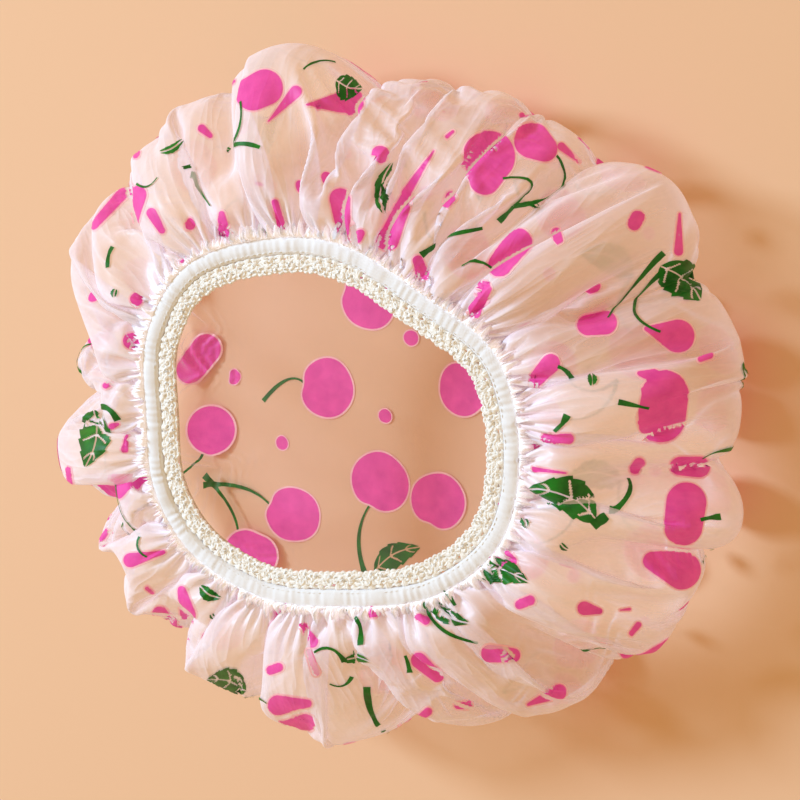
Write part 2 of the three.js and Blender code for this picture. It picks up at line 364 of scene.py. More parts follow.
add_lamp("key", (-2.45, 1.05, 2.17), 0.85, 118.0, (0.5, 0.74, 1.0))
world = bpy.data.worlds.new("studio")
world.use_nodes = True
world.node_tree.nodes["Background"].inputs["Color"].default_value = (1.0, 0.7, 0.345, 1)
world.node_tree.nodes["Background"].inputs["Strength"].default_value = 0.63
scene.world = world

# Printed film: the cut disc gathered into the rim

FILM_COLUMNS = 960
FILM_ROW = 2 * MM
FILM_INNER = 80 * MM
FILM_LIFT = 0.3 * MM
PLEAT_SEED = 7
RIM_PLEATS = 200
# Rows of film inside the tape: which, how far inward and their share of the ripple
TAPED_ROWS = ((-1, -0.5 * MM, 1.0), (-2, -2.0 * MM, 1.0), (-3, -3.6 * MM, 1.6))
TAPED_RIPPLE = 0.45 * MM
SETTLING_ROUNDS = 640
GROWING_SHARE = 0.45
KEPT_SPEED = 0.9
FASTEST_MOVE = 0.8 * MM
# How firmly each round draws the film to its smooth form and to its cut lengths
NOTCH_HOLD = 0.35
NOTCH_WIDTH = np.radians(1.3)
WALL_HOLD = 0.25
BROAD_HOLD = 0.08
SLANT_PULL = 0.6
STIFF_ROUND = 0.05
STIFF_UP = 0.1
RADII = np.arange(FILM_INNER, FILM_DISC_RADIUS + TINY, FILM_ROW)
ROWS = len(RADII)
THETA = turns_of(FILM_COLUMNS)
# Each set of soft pleats: how many go round, their height and how far from the rim they fade
PLEAT_SETS = (
    (RIM_PLEATS, 1.6 * MM, 12 * MM),
    (72, 3.2 * MM, 45 * MM),
    (38, 5.6 * MM, 100 * MM),
    (21, 5.6 * MM, 135 * MM),
)


def lobe_share(degrees):
    """Share of the widest radius at each angle, and how far the angle is into its lobe, 0 at a notch."""
    starts, notches, middles = np.array(LOBE_SHARES, float).T
    turned = np.mod(degrees - starts[0], 360) + starts[0]
    k = np.searchsorted(starts, turned, side="right") - 1
    ends = np.append(starts[1:], starts[0] + 360)
    along = (turned - starts[k]) / (ends[k] - starts[k])
    after = np.roll(notches, -1)
    bulge = np.clip(4 * along * (1 - along), 0, 1) ** LOBE_CURVE_POWER
    share = blend(notches[k], after[k], along) + (middles[k] - (notches[k] + after[k]) / 2) * bulge
    return share, bulge


def ring_noise(rng, turns, waves):
    """A random curve round the rim that joins its own start, with detail up to so many waves."""
    total = np.zeros_like(turns)
    for k in range(1, waves + 1):
        total += rng.normal() * np.cos(FULL_TURN * k * turns + rng.uniform(0, FULL_TURN))
    return total / np.sqrt(waves / 2)


def angle_about_rim(places):
    return np.arctan2(places[:, 1] - RIM_SHIFT[1], places[:, 0] - RIM_SHIFT[0])


def bonnet_columns(share, samples=400):
    """Lines up the bonnet's smooth form from the middle of the crown to the tape, one for each rim share."""
    angle = angle_about_rim(rim_place(share))
    lobe, bulge = lobe_share(np.degrees(angle))
    outward = heading(angle)
    widest = outward * lobe[:, None] * np.array((WIDEST_HALF_LENGTH, WIDEST_HALF_WIDTH))
    even = outward * np.mean(lobe) * np.array((WIDEST_HALF_LENGTH, WIDEST_HALF_WIDTH))
    crown_edge = outward * CROWN_REST_RADIUS
    rim_edge = rim_place(share, -BINDING_HALF_WIDTH)
    crown = np.linspace(0, 1, samples // 4, endpoint=False)
    side = np.linspace(0, np.pi / 2, samples // 4, endpoint=False)
    shoulder = np.linspace(0, np.pi / 2, samples // 2)

    def span(flat, height):
        return np.concatenate((flat, np.broadcast_to(height, flat.shape[:2])[..., None]), -1)

    parts = [span(crown_edge[:, None, :] * crown[None, :, None], 0.0)]
    grown = (1 - np.cos(side))[None, :, None] ** 0.7
    flat = blend(even[:, None, :], widest[:, None, :], grown)
    flat = blend(crown_edge[:, None, :], flat, np.sin(side)[None, :, None])
    parts.append(span(flat, (WIDEST_HEIGHT * (1 - np.cos(side)))[None, :]))
    flat = blend(widest[:, None, :], rim_edge[:, None, :2], (1 - np.cos(shoulder))[None, :, None])
    valley = FOLD_DROP * (1 - bulge)[:, None] * np.sin(2 * shoulder)[None, :]
    puff = LOBE_PUFF * bulge[:, None] * (np.sin(shoulder) ** 4 * np.sin(2 * shoulder))[None, :]
    parts.append(span(flat, blend(WIDEST_HEIGHT, rim_edge[:, None, 2], np.sin(shoulder)[None, :]) - valley + puff))
    return np.concatenate(parts, 1)


def surface_normals(grid):
    """Directions out of the film at each point of a grid of shape (3, rows, columns)."""
    round_way = np.roll(grid, -1, 2) - np.roll(grid, 1, 2)
    normal = np.cross(round_way, np.gradient(grid, axis=1), axis=0)
    return normal / np.maximum(np.sqrt((normal * normal).sum(0)), TINY)


def tighten(grid, free, first, second, turn, length, share, only_if_short=False):
    """Draw two sets of the grid's points, one some columns round from the other, to their cut length apart."""
    whole = (slice(None),)
    others = np.roll(grid[whole + second], -turn, 2)
    free_first, free_others = free[first], np.roll(free[second], -turn, 1)
    gap = others - grid[whole + first]
    size = np.sqrt((gap * gap).sum(0)) + TINY
    move = (size - length) / size * share
    if only_if_short:
        move = np.minimum(move, 0)
    gap *= move / np.maximum(free_first + free_others, TINY)
    grid[whole + first] += gap * free_first
    others -= gap * free_others
    grid[whole + second] = np.roll(others, turn, 2)


def row_pairs(step, phases):
    """Pairs of row slices, each row with the one that lies step rows after it."""
    pairs = []
    for start in range(phases):
        count = (ROWS - step - start + phases - 1) // phases
        pairs.append([slice(at, at + phases * count, phases) for at in (start, start + step)])
    return pairs


def start_grid(rng):
    """The bonnet's smooth form as a grid, and the same with soft pleats."""
    fine = np.arange(4000) / 4000
    angle = np.unwrap(angle_about_rim(rim_place(fine)))
    known = np.concatenate((angle - FULL_TURN, angle, angle + FULL_TURN))
    share = np.interp(THETA, known, np.concatenate((fine - 1, fine, fine + 1)))
    above = (RADII - CROWN_REST_RADIUS) / (FILM_DISC_RADIUS - 4 * MM - CROWN_REST_RADIUS)
    form = np.zeros((3, ROWS, FILM_COLUMNS), np.float32)
    for i, column in enumerate(bonnet_columns(share)):
        along = length_along(column)
        reach = CROWN_REST_RADIUS + above * (along[-1] - CROWN_REST_RADIUS)
        reach = np.where(RADII <= CROWN_REST_RADIUS, RADII, reach)
        form[:, :, i] = places_along(reach, along, column).T
    ripple = TAPED_RIPPLE * np.cos(FULL_TURN * (RIM_PLEATS * share + 0.35 * ring_noise(rng, share, 40)))
    for row, inward, height in TAPED_ROWS:
        form[:, row] = rim_place(share, inward).T
        form[2, row] += ripple * height
    pleated = form.copy()
    normal = surface_normals(form)
    from_rim = np.maximum(FILM_DISC_RADIUS - RADII, 0)[:, None]
    turns = THETA / FULL_TURN
    for count, height, reach in PLEAT_SETS:
        waves = max(count // 2, 6)
        drift = ring_noise(rng, turns, 9)[None, :] * (from_rim / (70 * MM)) ** 1.2 * (0.9 / count)
        phase = count * (turns[None, :] + drift) + 0.5 * ring_noise(rng, turns, waves)[None, :]
        strength = np.clip(0.75 + 0.5 * ring_noise(rng, turns, waves), 0.1, 1.6)[None, :]
        fade = onset(from_rim, 4, 6) * np.exp(-((from_rim / reach) ** 1.6)) * onset(RADII[:, None], 90, 30)
        pleated += normal * (height * strength * fade * np.cos(FULL_TURN * phase))[None]
    form[2] += FILM_LIFT
    pleated[2] += FILM_LIFT
    return form.astype(np.float32), pleated.astype(np.float32)


def settle_film():
    """Let the flat disc's full width of film gather into the small rim, and fold as it must."""
    rng = np.random.default_rng(PLEAT_SEED)
    form, grid = start_grid(rng)
    free = np.ones((ROWS, FILM_COLUMNS), np.float32)
    free[0] = 0
    free[-len(TAPED_ROWS) :] = 0
    cut_hoop = (2 * RADII * np.sin(FULL_TURN / FILM_COLUMNS / 2)).astype(np.float32)[:, None]
    cut_slant = np.sqrt(FILM_ROW**2 + cut_hoop[:-1] * cut_hoop[1:])
    start_hoop = np.sqrt(((np.roll(form, -1, 2) - form) ** 2).sum(0)).mean(1, keepdims=True)
    start_slant = np.sqrt(FILM_ROW**2 + start_hoop[:-1] * start_hoop[1:])
    # The folds between the lobes are held in near the widest line
    held = np.zeros(FILM_COLUMNS)
    for notch, _, _ in LOBE_SHARES:
        share = 0.45 + 0.55 * rng.random()
        held = np.maximum(held, share * np.exp(-((turn_from(THETA, notch) / NOTCH_WIDTH) ** 2)))
    band = onset(RADII, 138, 22) * (1 - onset(RADII, 200, 30))
    hold = NOTCH_HOLD * held[None, :] * band[:, None]
    # The lower wall stays smooth where it leaves the crown
    hold = np.maximum(hold, WALL_HOLD * (1 - onset(RADII, 96, 34))[:, None]).astype(np.float32)
    every, odd, even = slice(None), slice(1, None, 2), slice(0, None, 2)
    fourths = [slice(k, None, 4) for k in range(4)]
    before = grid.copy()
    for step in range(SETTLING_ROUNDS):
        grown = ease(step / (SETTLING_ROUNDS * GROWING_SHARE))
        hoop = blend(start_hoop, cut_hoop, grown).astype(np.float32)
        slant = blend(start_slant, cut_slant, grown).astype(np.float32)
        speed = (grid - before) * KEPT_SPEED
        before = grid.copy()
        size = np.sqrt((speed * speed).sum(0))
        grid += speed * (np.minimum(1, FASTEST_MOVE / np.maximum(size, TINY)) * free)
        grid += (form - grid) * (hold * free)
        if step % 4 == 0:
            # Broad swells are drawn back to the smooth form, so that only folds stay
            away = form - grid
            for spread in (1, 2, 4, 8, 16):
                away = (away + np.roll(away, spread, 2) + np.roll(away, -spread, 2)) / 3
            grid += away * (BROAD_HOLD * free)
        tighten(grid, free, (every, even), (every, odd), 0, hoop, 1.0)
        tighten(grid, free, (every, odd), (every, even), 1, hoop, 1.0)
        for first, second in row_pairs(1, 2):
            tighten(grid, free, (first, every), (second, every), 0, FILM_ROW, 1.0)
            for side in (1, -1):
                tighten(grid, free, (first, every), (second, every), side, slant[first], SLANT_PULL)
        # Points two apart are kept from closing up, which makes the film stiff enough to fold softly
        for k in range(4):
            others = (every, fourths[(k + 2) % 4])
            tighten(grid, free, (every, fourths[k]), others, k // 2, 2 * hoop, STIFF_ROUND, True)
        for first, second in row_pairs(2, 4):
            tighten(grid, free, (first, every), (second, every), 0, 2 * FILM_ROW, STIFF_UP, True)
        grid[2] = np.maximum(grid[2], FILM_LIFT)
    return grid.astype(float)


def crown_height(x, y):
    """Soft ripples of the crown where it lies flat."""
    waves = np.sin(x * 61 + y * 23 + 0.6) + np.sin(y * 74 - x * 31 + 2.1) + np.sin(x * 118 + y * 97 + 4.0)
    calm = onset(FILM_INNER - np.hypot(x, y), 0, 22)
    return FILM_LIFT + 0.16 * MM * (waves + 2.2) * calm


# Rings of the crown inside the gathered film: radius in millimetres and number of points
CROWN_RINGS = ((76, 480), *((radius, 240) for radius in range(72, 35, -6)), (30, 120), (24, 120), (18, 60), (12, 60))
CROWN_RINGS += ((6, 30),)


def bridge(outer_start, outer, inner_start, inner):
    """Faces between a ring and the ring inside it, which has as many points or half as many."""
    faces = []
    step = outer // inner
    for k in range(inner):
        a = outer_start + k * step
        b = outer_start + (k + 1) * step % outer
        c, d = inner_start + k, inner_start + (k + 1) % inner
        if step == 1:
            faces.append((a, c, d, b))
        else:
            faces.extend(((a, c, a + 1), (c, d, a + 1), (a + 1, d, b)))
    return faces


def disc_places(radii, count):
    """Places on the flat disc, in rings of so many points."""
    return radii[:, None, None] * heading(turns_of(count))


def make_film(grid, material):
    points = [grid.transpose(1, 2, 0).reshape(-1, 3)]
    flat = [disc_places(RADII, FILM_COLUMNS).reshape(-1, 2)]
    faces = grid_faces(ROWS, FILM_COLUMNS, columns_close=True)[:, OTHER_WAY].tolist()
    outer_start, outer, start = 0, FILM_COLUMNS, ROWS * FILM_COLUMNS
    for radius, count in CROWN_RINGS:
        ring = radius * MM * heading(turns_of(count))
        points.append(np.column_stack((ring, crown_height(*ring.T))))
        flat.append(ring)
        faces += bridge(outer_start, outer, start, count)
        outer_start, outer, start = start, count, start + count
    points.append(np.array([(0, 0, crown_height(0.0, 0.0))]))
    flat.append(np.zeros((1, 2)))
    faces += [(outer_start + k, start, outer_start + (k + 1) % outer) for k in range(outer)]
    return add_object("printed_film", np.concatenate(points), faces, material, "flat_film", np.concatenate(flat))


class GatheredFilm:
    """The settled film as a grid of shape (3, rows, columns), and the places on it over the flat disc."""

    # Ink stands this much further off the gathered film than off the flat crown, so that it clears the bends
    CURVED_LIFT = 3.5

    def __init__(self):
        self.grid = settle_film()
        self.normal = surface_normals(self.grid)

    def over(self, flat, lift):
        """Points on the film over places on the flat disc, lifted off its outer side."""
        radius = np.hypot(flat[:, 0], flat[:, 1])
        row = np.clip((radius - FILM_INNER) / FILM_ROW, 0, ROWS - 1.001)
        column = np.mod(np.arctan2(flat[:, 1], flat[:, 0]) / FULL_TURN, 1) * FILM_COLUMNS
        i, j = row.astype(int), column.astype(int) % FILM_COLUMNS
        across, along = (row - i)[None, :], (column - np.floor(column))[None, :]
        after = (j + 1) % FILM_COLUMNS

        def between(values):
            low, high = (blend(values[:, k, j], values[:, k, after], along) for k in (i, i + 1))
            return blend(low, high, across)

        points = (between(self.grid) + between(self.normal) * lift * self.CURVED_LIFT).T
        points[:, 2] = np.maximum(points[:, 2], FILM_LIFT - lift)
        crown = radius < FILM_INNER
        points[crown, :2] = flat[crown]
        points[crown, 2] = crown_height(flat[crown, 0], flat[crown, 1]) - lift
        return points


# Print on the film: a traditional pattern of cherries, stems, leaves and dots

# Marks that the photograph shows, as pixels of its frame. Cherries on the crown: middle, the stem's side, radius
SHOWN_CHERRIES = (
    ((327, 388), (290, 382), 29), ((463, 389), (466, 355), 25.5), ((368, 300), (345, 290), 28.5),
    ((380, 482), (366, 515), 30), ((438, 501), (425, 535), 28), ((293, 515), (262, 498), 29),
)
SHOWN_DOTS = ((235, 377), (411, 338), (385, 416), (282, 443))
# Cherries and dots as the gathers show them, each drawn round two circles: x, y and radius of each
SHOWN_ROUNDS = (
    ((206, 349, 15), (190, 370, 14)), ((211, 430, 24), (210, 446, 9)), ((245, 550, 20), (256, 556, 21)),
    ((265, 88, 18), (253, 94, 17)), ((296, 92, 6), (268, 122, 0.6)), ((307, 105, 0.8), (351, 102, 13)),
    ((127, 189, 6), (94, 226, 4)), ((138, 195, 9), (136, 222, 2)), ((152, 213, 5), (162, 230, 3.5)),
    ((222, 214, 3), (225, 236, 7)), ((275, 202, 3), (282, 228, 4.5)), ((340, 199, 11), (344, 236, 6)),
    ((434, 151, 0.7), (406, 193, 5)), ((406, 199, 7), (388, 240, 11)), ((489, 157, 26), (485, 180, 15)),
    ((532, 141, 18), (544, 149, 13)), ((561, 147, 4), (579, 162, 1.2)), ((519, 242, 13), (500, 265, 12)),
    ((485, 288, 6.5), (475, 312, 6)), ((418, 260, 5), (422, 274, 6.5)), ((679, 214, 1.2), (678, 251, 4.5)),
    ((588, 325, 11), (605, 323, 12)), ((678, 336, 16), (646, 329, 2)), ((551, 363, 9), (537, 378, 8)),
    ((665, 394, 23), (661, 419, 24)), ((639, 374, 2), (654, 377, 7)), ((545, 437, 4), (569, 438, 5)),
    ((534, 469, 2.5), (566, 473, 0.8)), ((680, 466, 10), (699, 467, 11)), ((686, 503, 20), (683, 526, 19)),
    ((652, 561, 9), (681, 570, 19)), ((497, 557, 9), (510, 561, 7)), ((584, 608, 7), (599, 611, 3)),
    ((490, 653, 9), (513, 655, 7)), ((419, 660, 8), (437, 676, 6)), ((528, 704, 1.5), (559, 691, 7)),
    ((396, 736, 1), (428, 711, 4)), ((304, 626, 3), (313, 642, 5.5)), ((309, 652, 3.5), (316, 672, 4)),
    ((278, 705, 10), (308, 703, 4)), ((280, 723, 1), (305, 724, 9)), ((160, 614, 8), (182, 640, 4)),
    ((182, 590, 4), (188, 614, 8)), ((131, 560, 7), (164, 552, 1.5)), ((106, 532, 3), (101, 544, 1)),
    ((67, 470, 3), (69, 490, 3)), ((95, 511, 1), (104, 512, 3)), ((135, 299, 5), (138, 301, 4.5)),
    ((131, 341, 8), (134, 343, 7)), ((106, 386, 3), (111, 384, 1.5)), ((112, 426, 3), (118, 424, 1.5)),
    ((127, 436, 1.5), (125, 449, 3.5)), ((181, 265, 3), (187, 260, 2.5)), ((190, 221, 3), (190, 225, 5)),
    ((202, 129, 4), (210, 136, 2.5)), ((136, 151, 3), (135, 154, 4)), ((229, 83, 1.5), (233, 81, 2)),
    ((380, 154, 8), (380, 155, 8)), ((451, 197, 6), (447, 204, 4.5)), ((447, 137, 2), (453, 132, 1.5)),
    ((556, 232, 5), (559, 240, 4)), ((637, 218, 7), (634, 224, 6.5)), ((700, 360, 2.5), (710, 356, 3)),
    ((639, 463, 6), (635, 469, 5.5)), ((631, 633, 2.5), (638, 625, 3)), ((520, 604, 4.5), (530, 600, 5)),
    ((419, 617, 2.5), (426, 621, 4)), ((374, 609, 3.5), (374, 614, 4)), ((458, 705, 4), (468, 705, 4)),
    ((271, 670, 4.5), (279, 667, 4.5)), ((361, 233, 4), (359, 240, 2.5)), ((147, 588, 2), (153, 594, 1.5)),
    ((620, 610, 0.7), (629, 609, 1.6)),
)
# Stems: three points from the cherry to the free end, then the widths at the two ends in millimetres
SHOWN_STEMS = (
    ((308, 388), (289, 379), (263, 401), 0.8, 2.0), ((463, 376), (465, 368), (467, 360), 0.6, 1.4),
    ((373, 500), (359, 533), (364, 572), 0.8, 2.6), ((275, 512), (246, 489), (203, 485), 0.8, 2.6),
    ((237, 543), (232, 512), (204, 475), 0.8, 2.4), ((205, 450), (190, 468), (168, 477), 0.8, 0.9),
    ((241, 102), (240, 128), (228, 152), 0.8, 1.4), ((228, 150), (241, 144), (260, 148), 1.2, 1.4),
    ((303, 70), (318, 62), (335, 63), 0.7, 0.9), ((211, 206), (199, 188), (186, 166), 0.5, 2.9),
    ((158, 178), (148, 187), (137, 184), 0.6, 1.0), ((108, 268), (109, 256), (113, 247), 1.4, 1.4),
    ((556, 156), (560, 188), (513, 206), 0.9, 2.0), ((503, 179), (531, 183), (513, 206), 0.9, 1.6),
    ((513, 206), (506, 213), (498, 221), 2.0, 3.0), ((482, 228), (448, 238), (421, 255), 1.2, 2.4),
    ((491, 267), (477, 262), (462, 267), 0.8, 1.6), ((608, 318), (632, 286), (663, 252), 0.8, 2.4),
    ((660, 332), (634, 308), (664, 270), 0.8, 2.0), ((558, 366), (566, 370), (572, 378), 1.2, 1.8),
    ((648, 408), (634, 405), (618, 402), 0.8, 2.0), ((555, 431), (562, 424), (568, 415), 1.2, 2.2),
    ((702, 458), (722, 450), (748, 453), 0.8, 2.6), ((700, 520), (710, 518), (720, 517), 1.0, 2.0),
    ((628, 479), (625, 500), (592, 525), 1.2, 3.4), ((702, 563), (707, 557), (713, 551), 0.8, 1.4),
    ((478, 643), (440, 628), (425, 603), 0.8, 2.6), ((443, 588), (449, 597), (455, 606), 1.0, 1.4),
    ((392, 738), (373, 716), (367, 686), 1.6, 2.8), ((315, 652), (331, 648), (345, 661), 0.8, 2.0),
    ((330, 683), (343, 685), (352, 676), 0.8, 1.4), ((341, 605), (357, 618), (361, 645), 0.8, 2.4),
    ((267, 703), (256, 699), (246, 707), 0.8, 1.4), ((147, 557), (138, 548), (140, 537), 0.7, 0.9),
    ((97, 408), (108, 408), (118, 420), 1.8, 2.4), ((405, 655), (408, 663), (410, 672), 1.0, 2.0),
)
# Leaves: base, tip and the width
SHOWN_LEAVES = (
    ((374, 572), (420, 547), 24), ((336, 81), (362, 89), 24), ((382, 214), (392, 161), 14),
    ((160, 153), (184, 138), 8), ((660, 266), (700, 301), 38), ((596, 519), (529, 488), 36),
    ((474, 571), (529, 582), 24), ((430, 597), (470, 623), 16), ((94, 410), (86, 467), 30),
    ((246, 691), (206, 680), 25), ((343, 660), (371, 661), 9), ((200, 586), (222, 598), 12),
    ((248, 234), (257, 233), 6), ((258, 228), (271, 234), 5), ((591, 374), (592, 388), 9),
    ((117, 288), (115, 299), 6), ((522, 519), (529, 529), 6), ((560, 542), (569, 549), 6),
    ((528, 203), (540, 207), 6), ((211, 612), (216, 618), 5),
)
# Pixels about a place that count as under it, and the millimetres that a pixel covers
PICTURE_REACH = 5
PIXEL_SIZE = 0.46
# Squares of the picture, in pixels: those that the film's points are filed by, with the step from one row of
# them to the next, and those that keep the nearest film
SQUARE, SQUARE_ROW = 8, 1000
NEAR_SQUARE = 6
NEAR_SQUARES = FRAME_PIXELS // NEAR_SQUARE + 2
PRINT_SEED = 23
# Sizes of the print in millimetres. Neighbours that lie this far apart on the flat disc have a fold between them
FOLD_JUMP = 6.0
INK_PAST_FOLD = 3
PRINT_REACH = 263.5
FILL_REACH = 258
DOT_SIZE = 3.4
PRINT_GAP = 8.0
SPRIG_TRIES, DOT_TRIES = 2600, 700
# Sprigs that fill the rest, in millimetres about a knot: cherries as x, y, radius and the dent's heading, then
# stems and leaves
SPRIGS = (
    (
        ((-15.0, -17.0, 11.4, 62), (12.5, -21.0, 11.8, 118)),
        (((-11.5, -10.0), (-8.5, 5.0), (0.5, 14.0)), ((9.5, -13.5), (7.0, 2.0), (0.5, 14.0))),
        (((1.0, 14.0), (27.0, 21.0), 15.0),),
    ),
    (((2.0, -14.0, 12.0, 100),), (((0.5, -6.5), (-4.0, 6.0), (3.0, 19.0)),), (((3.0, 19.0), (-20.0, 29.0), 14.0),)),
    (((-3.0, -9.0, 11.2, 70),), (((-1.0, -2.5), (4.0, 7.0), (16.0, 9.0)),), ()),
    (
        ((-11.0, -14.0, 10.8, 75), (14.0, -9.0, 11.6, 140)),
        (((-9.0, -7.5), (-9.0, 6.0), (-19.0, 15.0)), ((9.5, -4.5), (-1.0, 12.0), (-19.0, 15.0))),
        (),
    ),
)
SPRIG_TURNS = (0, 1, 0, 2, 3)
LEAF_BLOT, STEM_BLOT = 9.0, 3.0
LARGE_ROUND = 5


def turned(points, angle, place):
    cos, sin = np.cos(angle), np.sin(angle)
    return np.asarray(points, float) @ np.array(((cos, sin), (-sin, cos))) + place


def near_square(*pixels):
    return tuple(np.clip(k // NEAR_SQUARE, 0, NEAR_SQUARES - 1).astype(int) for k in pixels)


class FilmInPicture:
    """The film as the photograph's camera sees it: places on the flat disc, in metres, pixels and distances."""

    def __init__(self, sheet):
        self.sheet = sheet
        crown = disc_places(np.arange(0, FILM_INNER, FILM_ROW), 240).transpose(1, 0, 2).reshape(-1, 2)
        gathered = disc_places(FILM_INNER + FILM_ROW * np.arange(ROWS), FILM_COLUMNS).reshape(-1, 2)
        self.flat = np.concatenate((crown, gathered))
        points = np.concatenate((sheet.over(crown, 0), sheet.grid.transpose(1, 2, 0).reshape(-1, 3)))
        self.x, self.y, self.depth = in_picture(points)
        # The points in order of the squares of the picture that they lie in, and the nearest of each small square
        keys = (self.y // SQUARE).astype(int) * SQUARE_ROW + (self.x // SQUARE).astype(int)
        self.order = np.argsort(keys, kind="stable")
        self.keys = keys[self.order]
        self.nearest = np.full((NEAR_SQUARES, NEAR_SQUARES), np.inf)
        np.minimum.at(self.nearest, near_square(self.y, self.x), self.depth)

    def shows(self, place):
        """Whether the camera sees the film at a place on the flat disc, in millimetres."""
        right, down, far = in_picture(self.sheet.over(np.array([place]) * MM, 0))
        return far[0] < self.nearest[near_square(down, right)][0] + 5 * MM

    def plane_under(self, pixel, hint=None):
        """The place on the flat disc that the camera sees at a pixel, then its shift for a pixel right and down."""
        key = int(pixel[1] // SQUARE) * SQUARE_ROW + int(pixel[0] // SQUARE)
        spans = [np.searchsorted(self.keys, (k - 1, k + 2)) for k in (key - SQUARE_ROW, key, key + SQUARE_ROW)]
        about = np.concatenate([self.order[start:stop] for start, stop in spans])
        if len(about) == 0:
            about = np.arange(len(self.x))
        right, down = self.x[about] - pixel[0], self.y[about] - pixel[1]
        places, depth, away = self.flat[about], self.depth[about], np.hypot(right, down)
        near = away < max(PICTURE_REACH, away.min() + 1)
        near &= depth < depth[near].min() + 4 * MM
        worth = away[near]
        if hint is not None:
            # The fold that the last point lay on comes first
            worth = worth + FRAME_PIXELS * (sizes_of(places[near] - hint * MM) > FOLD_JUMP * MM)
        best = places[near][np.argmin(worth)]
        near &= sizes_of(places - best) < 5 * MM
        places, right, down = places[near], right[near], down[near]
        weight = 1 / (away[near] ** 2 + 0.5)
        terms = np.stack((np.ones(len(right)), right, down))
        held = (terms * weight) @ terms.T + np.diag((0, 0.4, 0.4))
        plane = np.linalg.solve(held, (terms * weight) @ places)
        plane[0] = np.clip(plane[0], places.min(axis=0) - 0.5 * MM, places.max(axis=0) + 0.5 * MM)
        return plane / MM

    def carry(self, points, faces):
        """A shape drawn over the picture, on the flat disc. At a fold it goes on a little way under each side."""
        planes = []
        for k, pixel in enumerate(points):
            hint = planes[np.abs(points[:k] - pixel).sum(axis=1).argmin()][0] if k else None
            planes.append(self.plane_under(pixel, hint))
        places = [plane[0] for plane in planes]
        kept = []
        for face in faces:
            jumps = [np.linalg.norm(places[k] - places[face[0]]) for k in face]
            ends = (face[0],) if max(jumps) < FOLD_JUMP else (face[0], face[int(np.argmax(jumps))])
            for end in ends:
                corners = []
                for k in face:
                    if np.linalg.norm(places[k] - places[end]) < FOLD_JUMP:
                        corners.append(k)
                        continue
                    shift = (points[k] - points[end]) @ planes[end][1:]
                    shift *= min(1, INK_PAST_FOLD / (np.linalg.norm(shift) + TINY))
                    corners.append(len(places))
                    places.append(places[end] + shift)
                across, up = places[corners[2]] - places[corners[0]]
                back, over = places[corners[-1]] - places[corners[1]]
                area = across * over - up * back
                if abs(area) > 0.01:
                    kept.append(tuple(corners) if area > 0 else tuple(corners[::-1]))
        return np.array(places), kept

    def strokes(self, start, middle, end, start_width, end_width):
        """A stem on the flat disc, from three pixels, as strokes that stop where a fold hides the film."""
        line = []
        for pixel in bend_through((start, middle, end), 30):
            line.append(self.plane_under(pixel, line[-1] if line else None)[0])
        line = np.array(line)
        width = 1.2 * blend(start_width, end_width, np.linspace(0, 1, len(line)) ** 2)
        jumps = np.flatnonzero(sizes_of(np.diff(line, axis=0)) > FOLD_JUMP) + 1
        for part, sizes in zip(np.split(line, jumps), np.split(width, jumps), strict=True):
            if len(part) < 3:
                continue
            for _ in range(3):
                part[1:-1] = (part[:-2] + 2 * part[1:-1] + part[2:]) / 4
            along = length_along(part, TINY)
            even = np.linspace(0, along[-1], max(6, int(along[-1] / 1.5)))
            yield places_along(even, along, part), sizes[0], sizes[-1]


def blots_of(fruit, lines, greens):
    """Rounds that stand for cherries, stems and leaves where they keep off each other."""
    blots = [(x, y, radius) for x, y, radius, _ in fruit]
    blots += [(*np.add(base, tip) / 2, LEAF_BLOT) for base, tip, _ in greens]
    return blots + [(*line[len(line) // 2], STEM_BLOT) for line in lines]


def fill_print(rng, seen, blots, cherries, dots, stems):
    """Sprigs and dots on the film that the camera doesn't see. Gives the sprigs' leaves."""
    leaves = []

    def is_free(marks):
        for x, y, radius in marks:
            gap = radius + PRINT_GAP
            if seen.shows((x, y)) or any(np.hypot(x - a, y - b) < gap + size for a, b, size in blots):
                return False
        return True

    for attempt in range(SPRIG_TRIES):
        reach = FILL_REACH * np.sqrt(rng.random())
        toward, angle = rng.random(2) * FULL_TURN
        place = reach * heading(toward)
        fruit, twigs, greens = SPRIGS[SPRIG_TURNS[attempt % len(SPRIG_TURNS)]]
        fruit = [(*turned((x, y), angle, place), r, dent + np.degrees(angle)) for x, y, r, dent in fruit]
        twigs = [turned(twig, angle, place) for twig in twigs]
        greens = [(turned(a, angle, place), turned(b, angle, place), width) for a, b, width in greens]
        marks = blots_of(fruit, twigs, greens)
        if is_free(marks):
            blots += marks
            cherries += fruit
            stems += [(bend_through(twig, 22), 0.8, 1.9) for twig in twigs]
            leaves += greens
    for _ in range(DOT_TRIES):
        reach = FILL_REACH * np.sqrt(rng.random())
        mark = (*reach * heading(rng.random() * FULL_TURN), rng.uniform(2.6, 3.4))
        if is_free([mark]):
            blots.append((*mark[:2], mark[2] + 9))
            dots.append(mark)
    return leaves


